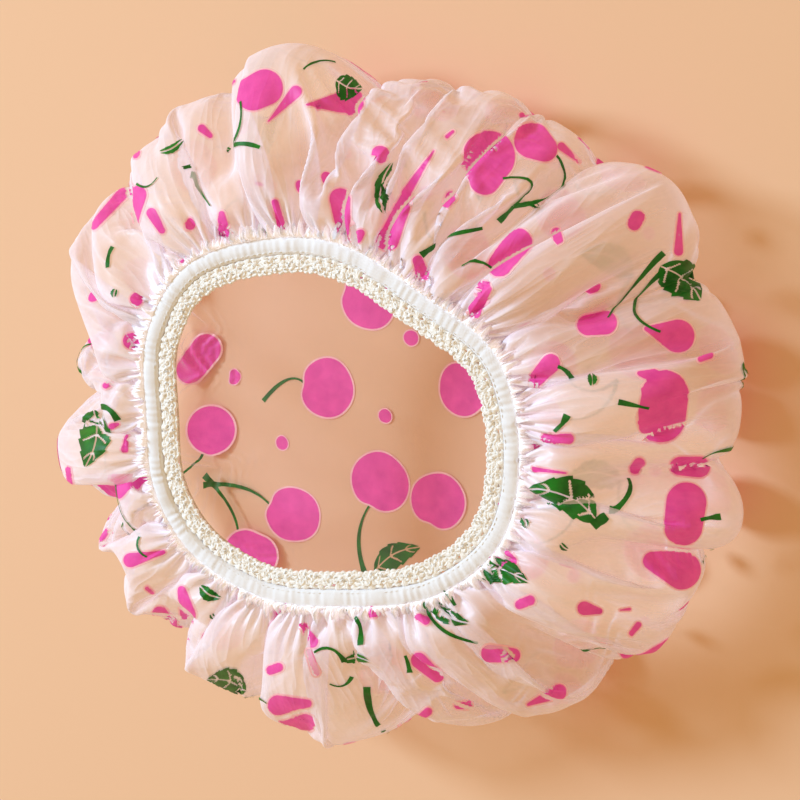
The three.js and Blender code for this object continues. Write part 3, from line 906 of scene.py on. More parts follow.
def lay_out_print(sheet):
    """The pink, pale and green shapes of the whole print on the flat disc, in millimetres."""
    rng = np.random.default_rng(PRINT_SEED)
    seen = FilmInPicture(sheet)
    cherries, dots, stems, pink, pale, green = ([] for _ in range(6))
    for middle, stem_side, radius in SHOWN_CHERRIES:
        place, side = (seen.plane_under(pixel)[0] for pixel in (middle, stem_side))
        cherries.append((*place, radius * PIXEL_SIZE, np.degrees(np.arctan2(*(side - place)[::-1]))))
    for pixel in SHOWN_DOTS:
        dots.append((*seen.plane_under(pixel)[0], DOT_SIZE * rng.uniform(0.92, 1.12)))
    for ends in SHOWN_ROUNDS:
        pink.append(seen.carry(*filled(*ends)))
        pale.append(seen.carry(*edged(*ends)))
    for stem in SHOWN_STEMS:
        stems += seen.strokes(*stem)
    for k, (base, tip, width) in enumerate(SHOWN_LEAVES):
        green += [seen.carry(*half) for half in leaf(base, tip, 1.12 * width, k, bare=0.8, fine=2)]
    blots = dots + blots_of(cherries, [stem[0] for stem in stems], ())
    blots += [(*places.mean(axis=0), np.ptp(places, axis=0).max() / 2) for places, _ in pink + green]
    leaves = fill_print(rng, seen, blots, cherries, dots, stems)
    rounds = [(*fruit, k) for k, fruit in enumerate(cherries)]
    rounds += [(*dot, None, 500 + k) for k, dot in enumerate(dots)]
    for *mark, radius, dent, k in rounds:
        large = radius > LARGE_ROUND
        pink.append(blob(*mark, radius, dent, k, rings=7 if large else 2))
        pale.append(blob(*mark, radius, dent, k, halo=0.75 if large else 0.5))
    green += [ribbon(*stem) for stem in stems]
    for k, leaf_marks in enumerate(leaves):
        green += leaf(*leaf_marks, k)
    return pink, pale, green


def ringed(rings, middle=None):
    """Rings of points with the faces between them, and about the middle where there is one."""
    count = len(rings[0])
    points, faces = np.concatenate(rings), grid_faces(len(rings), count, columns_close=True).tolist()
    if middle is not None:
        faces += [(len(points), k, (k + 1) % count) for k in range(count)]
        points = np.vstack((points, middle))
    return points, faces


def round_two(first, second, grow=0.0):
    """The line drawn round two circles, in even steps."""
    out = heading(np.linspace(0, FULL_TURN, 240))
    edges = [np.array(end[:2]) + out * (end[2] + grow) for end in (first, second)]
    further = np.einsum("ij,ij->i", edges[0] - edges[1], out) > 0
    line = np.where(further[:, None], *edges)
    along = length_along(line)
    size = np.hypot(first[0] - second[0], first[1] - second[1]) + first[2] + second[2]
    return places_along(np.linspace(0, along[-1], int(12 + 1.4 * size), endpoint=False), along, line)


def filled(first, second):
    """A round of ink about two circles."""
    edge = round_two(first, second)
    middle = edge.mean(axis=0)
    steps = int(sizes_of(edge - middle).max() / 2.2) + 2
    return ringed([middle + (edge - middle) * share for share in np.arange(1, steps + 1) / steps], middle)


def edged(first, second):
    """The narrow pale edge about that round."""
    return ringed([round_two(first, second, grow) for grow in (-0.3, 1.7)])


def blob(x, y, radius, dent, seed, rings=1, halo=0.0):
    """A hand-drawn round, dented where its stem enters, or the narrow ring of bare edge about it."""
    rng = np.random.default_rng(seed)
    turn = turns_of(40 if radius > LARGE_ROUND else 20)
    wobble = 1.0
    for waves, share in ((2, 0.025), (3, 0.014), (5, 0.008)):
        wobble = wobble + share * np.cos(waves * turn + rng.uniform(0, FULL_TURN))
    if dent is not None:
        wobble -= 0.11 * np.exp(-((turn_from(turn, dent) / 0.3) ** 2))
    edge = radius * wobble
    sizes = [edge - 0.1, edge + halo] if halo else [edge * share for share in np.linspace(1, 0, rings + 1)[:-1][::-1]]
    points, faces = ringed([heading(turn) * size[:, None] for size in sizes], None if halo else (0, 0))
    return points + (x, y), faces


def bend_through(points, steps):
    """A curve that passes through three points."""
    start, middle, end = (np.asarray(p, float) for p in points)
    bend = 2 * middle - (start + end) / 2
    t = np.linspace(0, 1, steps)[:, None]
    return start * (1 - t) ** 2 + 2 * bend * t * (1 - t) + end * t**2


def ribbon(line, start_width, end_width):
    """A stem drawn as one stroke that widens towards its free end."""
    t = np.linspace(0, 1, len(line))[:, None]
    way = np.gradient(line, axis=0)
    way /= np.maximum(np.linalg.norm(way, axis=1, keepdims=True), TINY)
    side = np.stack((-way[:, 1], way[:, 0]), -1)
    width = (start_width + (end_width - start_width) * t**2) * (1 + 0.12 * np.sin(9 * t + line[0, 0]))
    points = np.concatenate((line - side * width / 2, line + side * width / 2))
    return points, grid_faces(2, len(line))[:, OTHER_WAY].tolist()


def leaf(base, tip, width, seed, bare=0.28, fine=1):
    """A leaf in brush strokes: two toothed halves with a bare vein between them."""
    base, tip = np.asarray(base, float), np.asarray(tip, float)
    length = np.linalg.norm(tip - base)
    way = (tip - base) / length
    side = np.array((-way[1], way[0]))
    steps, lanes = 24 * fine + 1, 4 * fine + 1
    u = np.linspace(0, 1, steps)
    bend = 0.12 * length * np.sin(np.pi * u) * (1 if seed % 2 else -1)
    faces = grid_faces(lanes, steps)[:, OTHER_WAY]
    if fine > 1 and width > 20:
        # Large leaves have bare side veins too
        lane, k = np.divmod(np.arange(len(faces)), steps - 1)
        faces = faces[(lane >= 6) | ~np.isin((k - lane) % 15, (5, 6))]
    pieces = []
    for half in (1, -1):
        teeth = 1 - 0.16 * np.mod(u * 5 + 0.3 * half, 1)
        reach = width / 2 * np.sin(np.pi * u**0.8) ** 0.8 * teeth * (1.1 if half > 0 else 0.9)
        gap = np.minimum(bare, reach)
        rows = [bend + half * blend(gap, reach, lane / (lanes - 1)) for lane in range(lanes)]
        points = np.concatenate([base + np.outer(u * length, way) + np.outer(row, side) for row in rows])
        pieces.append((points, faces[:, ::half].tolist()))
    return pieces


def joined(shapes):
    """Shapes of points and faces as one."""
    starts = np.cumsum([0, *(len(shape[0]) for shape in shapes)]).tolist()
    faces = []
    for start, shape in zip(starts, shapes, strict=False):
        faces += [tuple(start + k for k in face) for face in shape[1]]
    return np.concatenate([shape[0] for shape in shapes]), faces


def print_piece(name, shapes, sheet, lift, material):
    """One colour of ink as a thin layer that follows the gathered film."""
    flat, faces = joined(shapes)
    inside = np.hypot(flat[:, 0], flat[:, 1]) < PRINT_REACH
    # Faces wind so that they face out of the bonnet
    faces = [face[::-1] for face in faces if all(inside[list(face)])]
    used = np.unique(np.concatenate(faces))
    place = np.full(len(flat), -1)
    place[used] = np.arange(len(used))
    flat = flat[used] * MM
    faces = [place[list(face)] for face in faces]
    return add_object(name, sheet.over(flat, lift), faces, material, "flat_film", flat)


# Rim pieces that follow the rim line


def sweep(name, section, steps, material, wander=None, closes=True):
    """Carry a section of (inward, up) places right round the rim."""
    section = np.asarray(section, float)
    count = len(section)
    share = np.repeat((np.arange(steps) / steps)[:, None], count, 1)
    places = np.repeat(section[None], steps, 0)
    if wander is not None:
        places = places + wander(share, places)
    points = rim_place(share, places[..., 0], places[..., 1]).reshape(-1, 3)
    faces = grid_faces(steps, count, rows_close=True, columns_close=closes)
    piece = add_object(name, points, faces.tolist(), material)
    # The map runs along the rim, then across the section, without a jump where it closes
    across = np.repeat(length_along(section)[None], steps, 0)
    corners = np.stack((share * RIM_LENGTH, across), -1).reshape(-1, 2)[faces].copy()
    corners[faces[:, 1] < faces[:, 0], 1:3, 0] += RIM_LENGTH
    wraps = (faces[:, 3] % count == 0) & (faces[:, 0] % count == count - 1)
    corners[wraps, 2:4, 1] = corners[wraps, 0:1, 1] + 0.8 * MM
    piece.data.uv_layers.new(name="strip").data.foreach_set("uv", corners.ravel())
    return piece


# Section of the folded tape in millimetres, inward and up: over the top, round the fold and back inside
TAPE_SECTION = (
    (-3.5, 0.95), (-3.45, 1.35), (-3.1, 1.75), (-2.3, 2.15), (-1.2, 2.42), (0.0, 2.5), (1.0, 2.4), (1.8, 2.1),
    (2.3, 1.93), (2.8, 1.75), (3.25, 1.2), (3.5, 0.45), (3.5, -0.4), (3.2, -1.05), (2.6, -1.45), (1.6, -1.6),
    (0.0, -1.6), (-1.6, -1.6), (-2.9, -1.55), (-3.4, -1.35), (-3.45, -1.0), (-3.2, -0.85), (-1.8, -0.85),
    (0.0, -0.85), (1.6, -0.8), (2.4, -0.4), (2.6, 0.0), (2.4, 0.4), (1.6, 0.8), (0.0, 0.85), (-1.8, 0.85),
    (-3.2, 0.85),
)
TAPE_STEPS = 1080
PUCKER_SEED = 3


def tape_puckers(share, places):
    """Small creases where the elastic draws the tape in."""
    rng = np.random.default_rng(PUCKER_SEED)
    turns = share[:, 0]
    fine = np.zeros_like(turns)
    for _ in range(26):
        waves = rng.integers(60, 200)
        fine += rng.normal() * np.cos(FULL_TURN * (waves * turns + rng.random()))
    fine /= np.sqrt(13)
    broad = ring_noise(rng, turns, 44)
    on_top = onset(places[..., 1], 0.95, 1.0)
    at_edge = onset(-places[..., 0], 2.4, 1.0) * (places[..., 1] > 0.9 * MM)
    up = on_top * (0.09 * fine + 0.17 * broad)[:, None] * MM
    inward = at_edge * (0.2 * fine + 0.2 * broad)[:, None] * MM
    return np.stack((inward, up), -1)


# Tight gathers of the film that stand out of the tape as a fluffy frill: inward and up in millimetres
FRILL_LINE = ((-2.7, 0.8), (-3.5, 1.0), (-4.0, 2.2), (-4.8, 3.3), (-5.8, 3.7), (-7.0, 3.4), (-8.3, 2.6), (-9.4, 1.7))
FRILL_STEPS = 2100
# Each layer: how many tucks go round, their rise in millimetres, their reach and the seed
FRILL_LAYERS = ((236, 1.5, 1.15, 19), (310, 1.1, 0.75, 20))


def make_frill(name, tucks, rise, reach, seed, material):
    """One layer of uneven pointed tucks, each taller and longer at its ridge."""

    def waves(share, places):
        rng = np.random.default_rng(seed)
        turns = share[:, 0]
        out = onset(-places[..., 0], 3.2, 2.6)
        phase = tucks * turns + 0.8 * ring_noise(rng, turns, 90)
        size = np.clip(0.85 + 0.5 * ring_noise(rng, turns, 130), 0.15, 1.9)
        lean = ring_noise(rng, turns, 80)
        ridge = 1 - 2 * np.abs(np.sin(np.pi * phase)) ** 0.7
        fine = np.cos(FULL_TURN * (2.37 * phase + 0.8 * lean))
        up = out * (size * (rise * ridge + 0.35 * fine))[:, None] * MM
        length = reach * np.clip(0.6 + 0.28 * ring_noise(rng, turns, 160) + 0.3 * size * ridge, 0.1, 1.15)
        past = -(places[..., 0] + 3.5 * MM)
        inward = out * (0.35 * fine * size)[:, None] * MM + np.maximum(past, 0) * (1 - length)[:, None]
        up -= out * (1.6 * (1 - length))[:, None] * MM
        return np.stack((inward, up), -1)

    return sweep(name, np.array(FRILL_LINE) * MM, FRILL_STEPS, material, waves, closes=False)


# Openwork elastic, stitches and other work that repeats round the rim


def tube(line, radius, sides, period=None):
    """A yarn along a line of points. With a period along X the yarn runs on into the next repeat."""
    line = np.asarray(line, float)
    count = len(line)
    radius = np.broadcast_to(np.asarray(radius, float), count)
    if period is None:
        way = np.gradient(line, axis=0)
    else:
        step = np.array((period, 0, 0))
        way = np.vstack((line[1:], line[1] + step)) - np.vstack((line[-2] - step, line[:-1]))
    way /= np.linalg.norm(way, axis=1, keepdims=True)
    side = np.cross((0, 0, 1), way)
    side /= np.maximum(np.linalg.norm(side, axis=1, keepdims=True), TINY)
    rise = np.cross(way, side)
    turn = turns_of(sides)
    ring = side[:, None, :] * np.cos(turn)[None, :, None] + rise[:, None, :] * np.sin(turn)[None, :, None]
    points = (line[:, None, :] + ring * radius[:, None, None]).reshape(-1, 3)
    faces = grid_faces(count, sides, columns_close=True)[:, ::-1].tolist()
    if period is None:
        last = (count - 1) * sides
        faces += [tuple(range(sides)), tuple(last + k for k in range(sides))[::-1]]
    along = np.repeat(length_along(line)[:, None], sides, 1)
    flat = np.stack((along, np.repeat(turn[None] / FULL_TURN, count, 0)), -1)
    return points, faces, flat.reshape(-1, 2)


def join_tubes(name, tubes, material):
    flat = np.concatenate([flat for _, _, flat in tubes])
    return add_object(name, *joined(tubes), material, "strip", flat)


def rim_line_object():
    """The rim line as a closed curve that the repeats follow."""
    curve = bpy.data.curves.new("rim_line", "CURVE")
    curve.dimensions = "3D"
    points = RIM_POINTS[:-1][::2]
    line = curve.splines.new("POLY")
    line.points.add(len(points) - 1)
    line.points.foreach_set("co", np.hstack((points, np.ones((len(points), 1)))).ravel())
    line.use_cyclic_u = True
    return link("rim_line", curve)


REPEAT_INPUTS = (
    ("Unit", "Object"),
    ("Rim", "Object"),
    ("Count", "Int"),
    ("Pitch", "Float"),
    ("Wander", "Float"),
    ("Join distance", "Float"),
    ("Material", "Material"),
)


def repeat_tree():
    """Sets repeats of a unit in a straight row, waves them slightly and bends the row round a curve."""
    tree = bpy.data.node_groups.new("repeats round the rim", "GeometryNodeTree")
    tree.interface.new_socket("Geometry", in_out="OUTPUT", socket_type="NodeSocketGeometry")
    for name, kind in REPEAT_INPUTS:
        tree.interface.new_socket(name, in_out="INPUT", socket_type="NodeSocket" + kind)
    make = Maker(tree)
    given = tree.nodes.new("NodeGroupInput").outputs

    def object_geometry(name):
        return make.node("GeometryNodeObjectInfo", Object=given[name]).outputs["Geometry"]

    step = make.node("ShaderNodeCombineXYZ", given["Pitch"])
    row = make.node("GeometryNodeMeshLine", Count=given["Count"], Offset=step)
    set_out = make.node("GeometryNodeInstanceOnPoints", Points=row, Instance=object_geometry("Unit"))
    real = make.node("GeometryNodeRealizeInstances", set_out)

    place = make.node("GeometryNodeInputPosition")
    parts = make.split(place)
    whole = make.times(given["Pitch"], given["Count"])
    share = make.math("FRACT", make.math("DIVIDE", parts[0], whole))
    noise = make.node("ShaderNodeTexNoise", Vector=place, Scale=260.0, Detail=1.0)
    sway = make.vector("SUBTRACT", noise.outputs["Color"], (0.5, 0.5, 0.5))
    sway = make.vector("SCALE", sway, Scale=given["Wander"])
    # The sway fades out at the ends of the row, where they join
    near_end = make.math("MINIMUM", share, make.math("SUBTRACT", 1.0, share))
    calm = make.math("MINIMUM", make.times(near_end, 60.0), 1.0)
    sway = make.split(make.vector("SCALE", sway, Scale=calm))
    share = make.math("ADD", share, make.math("DIVIDE", sway[0], whole))
    inward, up = (make.math("ADD", parts[k], sway[k]) for k in (1, 2))

    sample = make.node("GeometryNodeSampleCurve", mode="FACTOR", Curves=object_geometry("Rim"))
    make.feed(sample.inputs["Factor"], make.math("FRACT", share))
    level = make.vector("NORMALIZE", make.vector("MULTIPLY", sample.outputs["Tangent"], (1.0, 1.0, 0.0)))
    across = make.vector("SCALE", make.vector("CROSS_PRODUCT", (0.0, 0.0, 1.0), level), Scale=inward)
    placed = make.vector("ADD", sample.outputs["Position"], across)
    placed = make.vector("ADD", placed, make.node("ShaderNodeCombineXYZ", 0.0, 0.0, up))
    bent = make.node("GeometryNodeSetPosition", Geometry=real, Position=placed)
    joined = make.node("GeometryNodeMergeByDistance", bent, Distance=given["Join distance"])
    smooth = make.node("GeometryNodeSetShadeSmooth", joined)
    coloured = make.node("GeometryNodeSetMaterial", smooth, Material=given["Material"])
    # Realized once more, so that nothing is left as an instance
    last = make.node("GeometryNodeRealizeInstances", coloured)
    make.feed(tree.nodes.new("NodeGroupOutput").inputs["Geometry"], last)
    return tree


def repeat_round_rim(name, unit, material, *sizes):
    """Run the repeats and keep the result as one plain mesh. Sizes: count, pitch, wander, join distance."""
    carrier = link(name + "_carrier", bpy.data.meshes.new(name + "_carrier"))
    modifier = carrier.modifiers.new("repeats", "NODES")
    modifier.node_group = repeats
    values = dict(zip([name for name, _ in REPEAT_INPUTS], (unit, rim, *sizes, material), strict=True))
    for item in repeats.interface.items_tree:
        if item.in_out == "INPUT":
            modifier[item.identifier] = values[item.name]
    ready = carrier.evaluated_get(bpy.context.evaluated_depsgraph_get())
    mesh = bpy.data.meshes.new_from_object(ready)
    mesh.name = name
    for spent in (carrier, unit):
        bpy.data.objects.remove(spent)
    mesh.materials.clear()
    mesh.materials.append(material)
    return link(name, mesh)


CELL_PITCH = 7.4 * MM
UNIT_CELLS = 4
UNIT_LENGTH = UNIT_CELLS * CELL_PITCH
LACE_SEED = 11
LACE_SIDES = 7
# Rows of the elastic, inward in millimetres
CHAIN_ROW = 3.3
HOLE_ROW = 5.9
BODY_ROW = 7.7
EDGE_ROW = 9.9
# Past the tape the elastic rises level with it
LACE_RISE = 2.6 * MM
# Yarns that run on from cell to cell: place inward, radius, swing, waves to a cell and height
RUNNING_YARNS = (
    (CHAIN_ROW - 0.4, 0.7, 0.2, 2, 0.0),
    (CHAIN_ROW + 1.15, 0.72, 0.12, 2, 0.15),
    (HOLE_ROW + 0.35, 0.8, 0.3, 1, 0.1),
    (BODY_ROW, 1.15, 0.45, 1, 0.0),
    (EDGE_ROW - 0.5, 1.0, 0.35, 2, 0.05),
)
# Posts beside the holes, from the middle of the cell: foot, head and yarn. A finer one crosses the hole
POSTS = ((-2.5, -1.7, 0.74), (-1.1, -1.9, 0.7), (1.3, 1.7, 0.46), (2.6, 2.1, 0.6))


def elastic_dip(inward):
    return ELASTIC_DIP * ((inward - ELASTIC_OUTER_EDGE) / ELASTIC_WIDTH) ** 2


def lace_tube(x, y, above, yarn, period=None):
    """A yarn of the elastic, over places along and inward, this many millimetres above its lowest."""
    z = (above - 2.35) * MM - elastic_dip(y) + LACE_RISE * onset(y, 3.5, 0.8)
    return tube(np.stack((x, y, z), -1), yarn, LACE_SIDES, period)


def knot(rng, x, y, size, yarn):
    """A plump closed loop of yarn that lies on the elastic, a little turned and tipped."""
    turn = np.linspace(0, FULL_TURN, 11)
    lean, tip, squeeze = rng.uniform(0, np.pi), rng.uniform(-0.5, 0.5), rng.uniform(0.55, 0.85)
    a, b = size * np.cos(turn), size * squeeze * np.sin(turn)
    px = (x + a * np.cos(lean) - b * np.sin(lean)) * MM
    py = (y + a * np.sin(lean) + b * np.cos(lean)) * MM
    return lace_tube(px, py, 0.75 + tip * a + 0.2 * np.sin(2 * turn + lean), yarn * MM)


def elastic_unit(material):
    """Four cells of the openwork elastic: a chain, ladder posts, a knotted body and a bumpy edge."""
    rng = np.random.default_rng(LACE_SEED)
    tubes = []
    pitch = CELL_PITCH / MM
    fine = np.linspace(0, UNIT_LENGTH, 14 * UNIT_CELLS + 1)
    for row, radius, swing, waves, above in RUNNING_YARNS:
        phase = waves * (FULL_TURN * fine / CELL_PITCH) + row
        plump = radius * (1 + 0.16 * np.cos(2 * phase + 1)) * MM
        plump[-1] = plump[0]
        y = (row + swing * np.cos(phase)) * MM
        tubes.append(lace_tube(fine, y, above + 0.25 * np.sin(phase), plump, UNIT_LENGTH))
    for cell in range(UNIT_CELLS):
        for foot, head, yarn in POSTS:
            t = np.linspace(0, 1, 7)
            shift = rng.uniform(-0.25, 0.25)
            y = blend(CHAIN_ROW - 0.3, HOLE_ROW + 0.8, t) * MM
            x = ((cell + 0.5) * pitch + shift + blend(foot, head, t)) * MM
            arch = np.sin(np.pi * t)
            tubes.append(lace_tube(x, y, 0.2 + 0.35 * arch, yarn * MM * (1 + 0.25 * arch)))
        # Plump knots of the body, in two rows
        for share in (0.16, 0.5, 0.83):
            x = (cell + share + rng.uniform(-0.06, 0.06)) * pitch
            for row, most, thin in ((HOLE_ROW + 1.0, 1.25, 0.62), (BODY_ROW + 0.9, 1.4, 0.66)):
                if row > BODY_ROW:
                    x += rng.uniform(0.6, 1.4)
                size = rng.uniform(0.85 if row < BODY_ROW else 0.9, most)
                tubes.append(knot(rng, x, row + rng.uniform(-0.4, 0.4), size, rng.uniform(thin, thin + 0.2)))
        # Bumps of the inner edge
        for share in (0.0, 0.34, 0.67):
            at = (cell + share + rng.uniform(-0.04, 0.04)) * pitch
            t = np.linspace(-0.2, np.pi + 0.2, 8)
            reach = rng.uniform(0.7, 1.45)
            y = (EDGE_ROW - 0.2 + reach * np.sin(t)) * MM
            x = (at + rng.uniform(0.9, 1.2) * np.cos(t)) * MM
            tubes.append(lace_tube(x, y, 0.3 + 0.3 * np.sin(t), rng.uniform(0.6, 0.78) * MM))
    return join_tubes("elastic_unit", tubes, material)


STITCH_COUNT = 196
STITCH_PITCH = 2.65 * MM
STITCH_INWARD = 2.3 * MM
STITCH_RADIUS = 0.2 * MM


def stitch_unit(material, up, face_up):
    """One lockstitch: a short plump thread whose ends dip into the layers."""
    t = np.linspace(0, 1, 11)
    arch = np.sin(np.pi * t) ** 0.5
    x = blend(0.2, 0.8, t) * STITCH_PITCH
    y = np.full_like(t, STITCH_INWARD) + 0.12 * MM * (t - 0.5)
    z = up + face_up * (arch - 1) * 0.22 * MM
    size = STITCH_RADIUS * (0.55 + 0.45 * arch)
    return join_tubes("stitch_unit", [tube(np.stack((x, y, z), -1), size, 8)], material)


def under_elastic(inward):
    """Height of the elastic's under side."""
    return ELASTIC_TOP - ELASTIC_THICKNESS - elastic_dip(inward)


def tack_zigzag(material):
    """The bar of thread that joins the two ends of the elastic."""
    join_share, zigs, half = 0.62, 7, 1.2 * MM
    t = np.linspace(0, 1, zigs * 6 + 1)
    inward = blend(1.1 * MM, 8.7 * MM, t)
    swing = half * (2 * np.abs(np.mod(t * zigs, 2) - 1) - 1)
    up = under_elastic(inward) - SEAT_GAP * 2 - CORE_DIAMETER - 0.35 * MM
    line = rim_place(join_share + swing / RIM_LENGTH, inward, up)
    return join_tubes("join_tack", [tube(line, 0.3 * MM, 8)], material)


# Looks


def shade_group(name, given, made):
    """A named group of shader nodes with a place and other numbers as inputs, and numbers as outputs."""
    tree = bpy.data.node_groups.new(name, "ShaderNodeTree")
    tree.interface.new_socket("Place", in_out="INPUT", socket_type="NodeSocketVector")
    for sockets, side in ((given, "INPUT"), (made, "OUTPUT")):
        for socket in sockets:
            tree.interface.new_socket(socket, in_out=side, socket_type="NodeSocketFloat")
    return tree, Maker(tree), tree.nodes.new("NodeGroupInput").outputs, tree.nodes.new("NodeGroupOutput").inputs


def film_crease_group():
    """Soft waves, fine pressed creases and the long gathers that run out from the edge of thin film."""
    tree, make, given, out = shade_group("film creases", (), ("Height", "Haze", "Gather"))
    place = given["Place"]
    fine = make.noise(place, 230.0)
    cells = make.node("ShaderNodeTexVoronoi", feature="DISTANCE_TO_EDGE", Vector=place, Scale=31.0)
    crease = make.ramp(cells.outputs["Distance"], 0.0, 0.06, 1.0, 0.0)
    height = make.times_plus(make.noise(place, 46.0, 1.0), 1.0, make.times(fine, 0.16))
    height = make.times_plus(crease, 0.04, height)
    from_crown = make.vector("LENGTH", place)
    worked = make.ramp(from_crown, 0.07, 0.19, 0.25, 1.0)
    # Gathers: noise drawn out along each radius, as cosine and sine of the heading so that it has no seam
    toward = make.split(make.vector("NORMALIZE", place))
    spread = make.node("ShaderNodeCombineXYZ", toward[0], toward[1], make.times(from_crown, 0.9))
    ridge = 0.0
    for scale, share in ((16.0, 0.6), (37.0, 0.4)):
        away = make.math("ABSOLUTE", make.times_plus(make.noise(spread, scale, 1.0), 2.0, -1.0))
        sharp = make.math("POWER", make.math("SUBTRACT", 1.0, away), 5.0)
        ridge = make.times_plus(sharp, share, ridge)
    gather = make.times(ridge, make.ramp(from_crown, 0.13, 0.235, 0.0, 1.0, smooth=True))
    height = make.times(height, worked)
    make.feed(out["Height"], make.times_plus(gather, 3.4, height))
    make.feed(out["Haze"], fine)
    make.feed(out["Gather"], gather)
    return tree


def yarn_ply_group():
    """Plies that wind round a yarn, with loose fibres. The map runs along the yarn, then round it."""
    tree, make, given, out = shade_group("yarn plies", ("Plies", "Lay"), ("Height", "Tone"))
    parts = make.split(given["Place"])
    wound = make.times_plus(parts[0], given["Lay"], make.times(parts[1], given["Plies"]))
    ply = make.math("ABSOLUTE", make.math("SINE", make.times(wound, np.pi)))
    stretched = make.vector("MULTIPLY", given["Place"], (300.0, 9.0, 1.0))
    fibre = make.noise(stretched, 3.0, 4.0, 0.7)
    make.feed(out["Height"], make.times_plus(fibre, 0.55, ply))
    make.feed(out["Tone"], make.times_plus(fibre, 0.6, make.times(ply, 0.5)))
    return tree


def tape_weave_group():
    """Plain weave of a soft narrow tape. The map runs along the tape, then across it."""
    tree, make, given, out = shade_group("tape weave", (), ("Height", "Tone"))
    parts = make.split(given["Place"])
    yarns = ((parts[0], 0.9 * MM), (parts[1], 0.8 * MM))
    warp, weft = (make.math("SINE", make.times(way, FULL_TURN / apart)) for way, apart in yarns)
    nap = make.noise(given["Place"], 1400.0, 3.0, 0.65)
    soft = make.noise(given["Place"], 260.0)
    weave = make.times(make.times(warp, weft), 0.35)
    height = make.times_plus(nap, 1.1, weave)
    make.feed(out["Height"], make.times_plus(soft, 1.6, height))
    make.feed(out["Tone"], make.times_plus(nap, 0.5, make.times(soft, 0.6)))
    return tree


CREASES = film_crease_group()
PLIES = yarn_ply_group()
WEAVE = tape_weave_group()
CREASE_DEPTH = 1.6 * MM


def film_material():
    material, make = new_material("printed film")
    place = make.place("flat_film")
    creases = make.group(CREASES, place)
    # Thin film is nearly clear face on, and milky along its edges and where gathering has worked it
    facing = make.node("ShaderNodeLayerWeight", Blend=0.5)
    grazing = make.math("POWER", facing.outputs["Facing"], 1.7)
    from_crown = make.vector("LENGTH", place)
    worked = make.ramp(from_crown, 0.125, 0.2, 0.03, 0.165, smooth=True)
    tight = make.ramp(from_crown, 0.236, 0.262, 0.0, 0.5, smooth=True)
    milky = make.times_plus(creases["Gather"], 0.44, make.math("ADD", worked, tight))
    veil = make.ramp(grazing, 0.0, 1.0, milky, 0.95)
    mottled = make.ramp(creases["Haze"], 0.25, 0.75, 0.95, 1.05)
    veil = make.times(veil, mottled, use_clamp=True)
    # Milky film scatters much of the light on through it, so its shadow is lighter than it looks
    shadow = make.node("ShaderNodeLightPath").outputs["Is Shadow Ray"]
    inputs = {
        "Base Color": linear(251, 240, 246),
        # Painted light: a faint white-pink glow stands in for light scattered through the milky film, so that its
        # shaded sides don't go dark
        "Emission Color": linear(238, 210, 228),
        "Emission Strength": 0.07,
        "IOR": 1.45,
        "Roughness": make.ramp(creases["Haze"], 0.3, 0.7, 0.34, 0.44),
        "Alpha": make.times(veil, make.ramp(shadow, 0.0, 1.0, 1.0, 0.6)),
    }
    return finish_look(material, make, inputs, creases["Height"], CREASE_DEPTH, 0.22)


def ink_material(name, deep, bright, alpha, painted_glow=0.1):
    """A flat ink, slightly mottled, that the milky film hides where other layers lie over it."""
    material, make = new_material(name)
    place = make.place("flat_film")
    creases = make.group(CREASES, place)
    share = make.ramp(make.noise(place, 120.0, 3.0, 0.6), 0.3, 0.7, 0.0, 1.0)
    colour = make.mix(share, linear(*deep), linear(*bright))
    layers = make.node("ShaderNodeLightPath").outputs["Transparent Depth"]
    inputs = {
        "Base Color": colour,
        # Painted light: the ink glows a little in its own colour, which lifts it where it lies in shade
        "Emission Color": colour,
        "Emission Strength": painted_glow,
        "Roughness": 0.5,
        "Specular IOR Level": 0.3,
        "Alpha": make.ramp(layers, 1.0, 2.0, alpha, alpha * 0.16),
    }
    return finish_look(material, make, inputs, creases["Height"], CREASE_DEPTH, 0.1)


def frill_material():
    """Film drawn tight: white beside the tape and clearer towards its outer ends, with a painted glow that keeps it
    bright in shade.
    """
    material, make = new_material("gathered film edge")
    place = make.place("strip")
    fine = make.noise(place, 900.0, 3.0, 0.6)
    fading = make.ramp(make.split(place)[1], 0.004, 0.0105, 0.97, 0.3)
    veil = make.ramp(fine, 0.3, 0.7, 0.85, 1.1)
    inputs = {
        "Base Color": linear(255, 251, 253),
        # Painted light: the tight film glows white so that it stays bright where it lies in shade
        "Emission Color": linear(255, 246, 250),
        "Emission Strength": 0.2,
        "Roughness": make.ramp(fine, 0.3, 0.7, 0.4, 0.6),
        "Alpha": make.times(fading, veil, use_clamp=True),
    }
    return finish_look(material, make, inputs, fine, 0.3 * MM, 0.5)


def tape_material():
    material, make = new_material("white tape")
    weave = make.group(WEAVE, make.place("strip"))
    inputs = {
        "Base Color": make.mix(weave["Tone"], linear(238, 237, 240), linear(252, 252, 255)),
        "Roughness": 0.88,
        "Sheen Weight": 0.35,
        "Sheen Roughness": 0.5,
    }
    return finish_look(material, make, inputs, weave["Height"], 0.16 * MM, 0.8)


def yarn_material(name, deep, bright, plies, lay, depth, roughness=0.9, sheen=0.3, painted_glow=0.0):
    material, make = new_material(name)
    made = make.group(PLIES, make.place("strip"), Plies=plies, Lay=lay / MM)
    inputs = {
        "Base Color": make.mix(made["Tone"], linear(*deep), linear(*bright)),
        # Painted light: an optional glow in the yarn's bright colour lifts it where its own yarns shade it
        "Emission Color": linear(*bright),
        "Emission Strength": painted_glow,
        "Roughness": roughness,
        "Sheen Weight": sheen,
    }
    return finish_look(material, make, inputs, made["Height"], depth, 0.9)


# The parts, each with the body that it rides on, the solid that it stands for and its material slot


def take_place(piece, node):
    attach(piece, "root")
    if node is not None:
        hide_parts(node)
    return piece


sheet = GatheredFilm()
film = take_place(make_film(sheet.grid, film_material()), "cap_film")

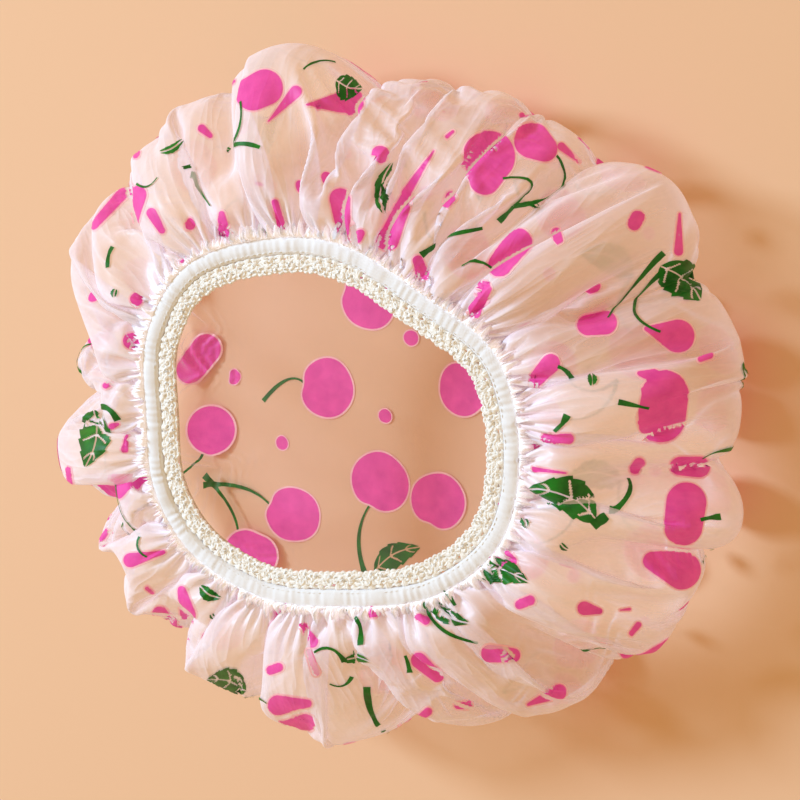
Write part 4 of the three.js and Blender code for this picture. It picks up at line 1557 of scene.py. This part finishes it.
# Each ink: its piece, how far it stands off the film, and its look
INKS = (
    # The pink ink's last number is its painted glow
    ("pink_print", 0.1 * MM, ("pink ink", (214, 62, 152), (234, 80, 168), 0.96, 0.18)),
    ("pale_print", 0.06 * MM, ("pale pink edge", (246, 178, 192), (255, 205, 212), 0.8)),
    ("green_print", 0.16 * MM, ("green ink", (0, 78, 2), (12, 124, 20), 0.98)),
)
over_film = []
for (name, lift, look), shapes in zip(INKS, lay_out_print(sheet), strict=True):
    over_film.append(print_piece(name, shapes, sheet, lift, ink_material(*look)))
gathers = frill_material()
for k, layer in enumerate(FRILL_LAYERS):
    over_film.append(make_frill(f"gathered_edge_{k + 1}", *layer, gathers))
for piece in over_film:
    take_place(piece, None)

tape = sweep("folded_tape", np.array(TAPE_SECTION) * MM, TAPE_STEPS, tape_material(), tape_puckers)
take_place(tape, "rim_binding")

rim = rim_line_object()
repeats = repeat_tree()
# The ivory yarn has a painted glow that lifts it where its yarns shade each other
ivory = yarn_material("ivory yarn", (244, 234, 224), (255, 255, 251), 3.0, 0.4, 0.2 * MM, painted_glow=0.06)
sizes = (ELASTIC_CELLS // UNIT_CELLS, UNIT_LENGTH, 1.5 * MM, 0.004 * MM)
lace = repeat_round_rim("openwork_elastic", elastic_unit(ivory), ivory, *sizes)
take_place(lace, "knit_elastic")

rubber = yarn_material("covered rubber", (206, 196, 168), (240, 233, 212), 6.0, 1.6, 0.05 * MM, 0.7, 0.1)
for k, core_share in enumerate(CORE_SHARES):
    inward = ELASTIC_OUTER_EDGE + ELASTIC_WIDTH * core_share
    up = under_elastic(inward) - SEAT_GAP - CORE_DIAMETER / 2
    section = (inward, up) + CORE_DIAMETER / 2 * heading(turns_of(10))[:, ::-1]
    core = sweep(f"covered_rubber_{k + 1}", section, 420, rubber)
    take_place(core, f"rubber_core_{k + 1}")

thread = yarn_material("sewing thread", (228, 226, 224), (255, 254, 252), 2.0, 1.1, 0.06 * MM, 0.7, 0.2)
sizes = (STITCH_COUNT, STITCH_PITCH, 0.15 * MM, 0.002 * MM)
for name, node, up, face_up in (
    ("top_stitches", "needle_thread", 2.0 * MM, 1),
    ("under_stitches", "bobbin_thread", -3.5 * MM, -1),
):
    seam = repeat_round_rim(name, stitch_unit(thread, up, face_up), thread, *sizes)
    take_place(seam, node)
take_place(tack_zigzag(thread), "join_tack_thread")
bpy.data.objects.remove(rim)
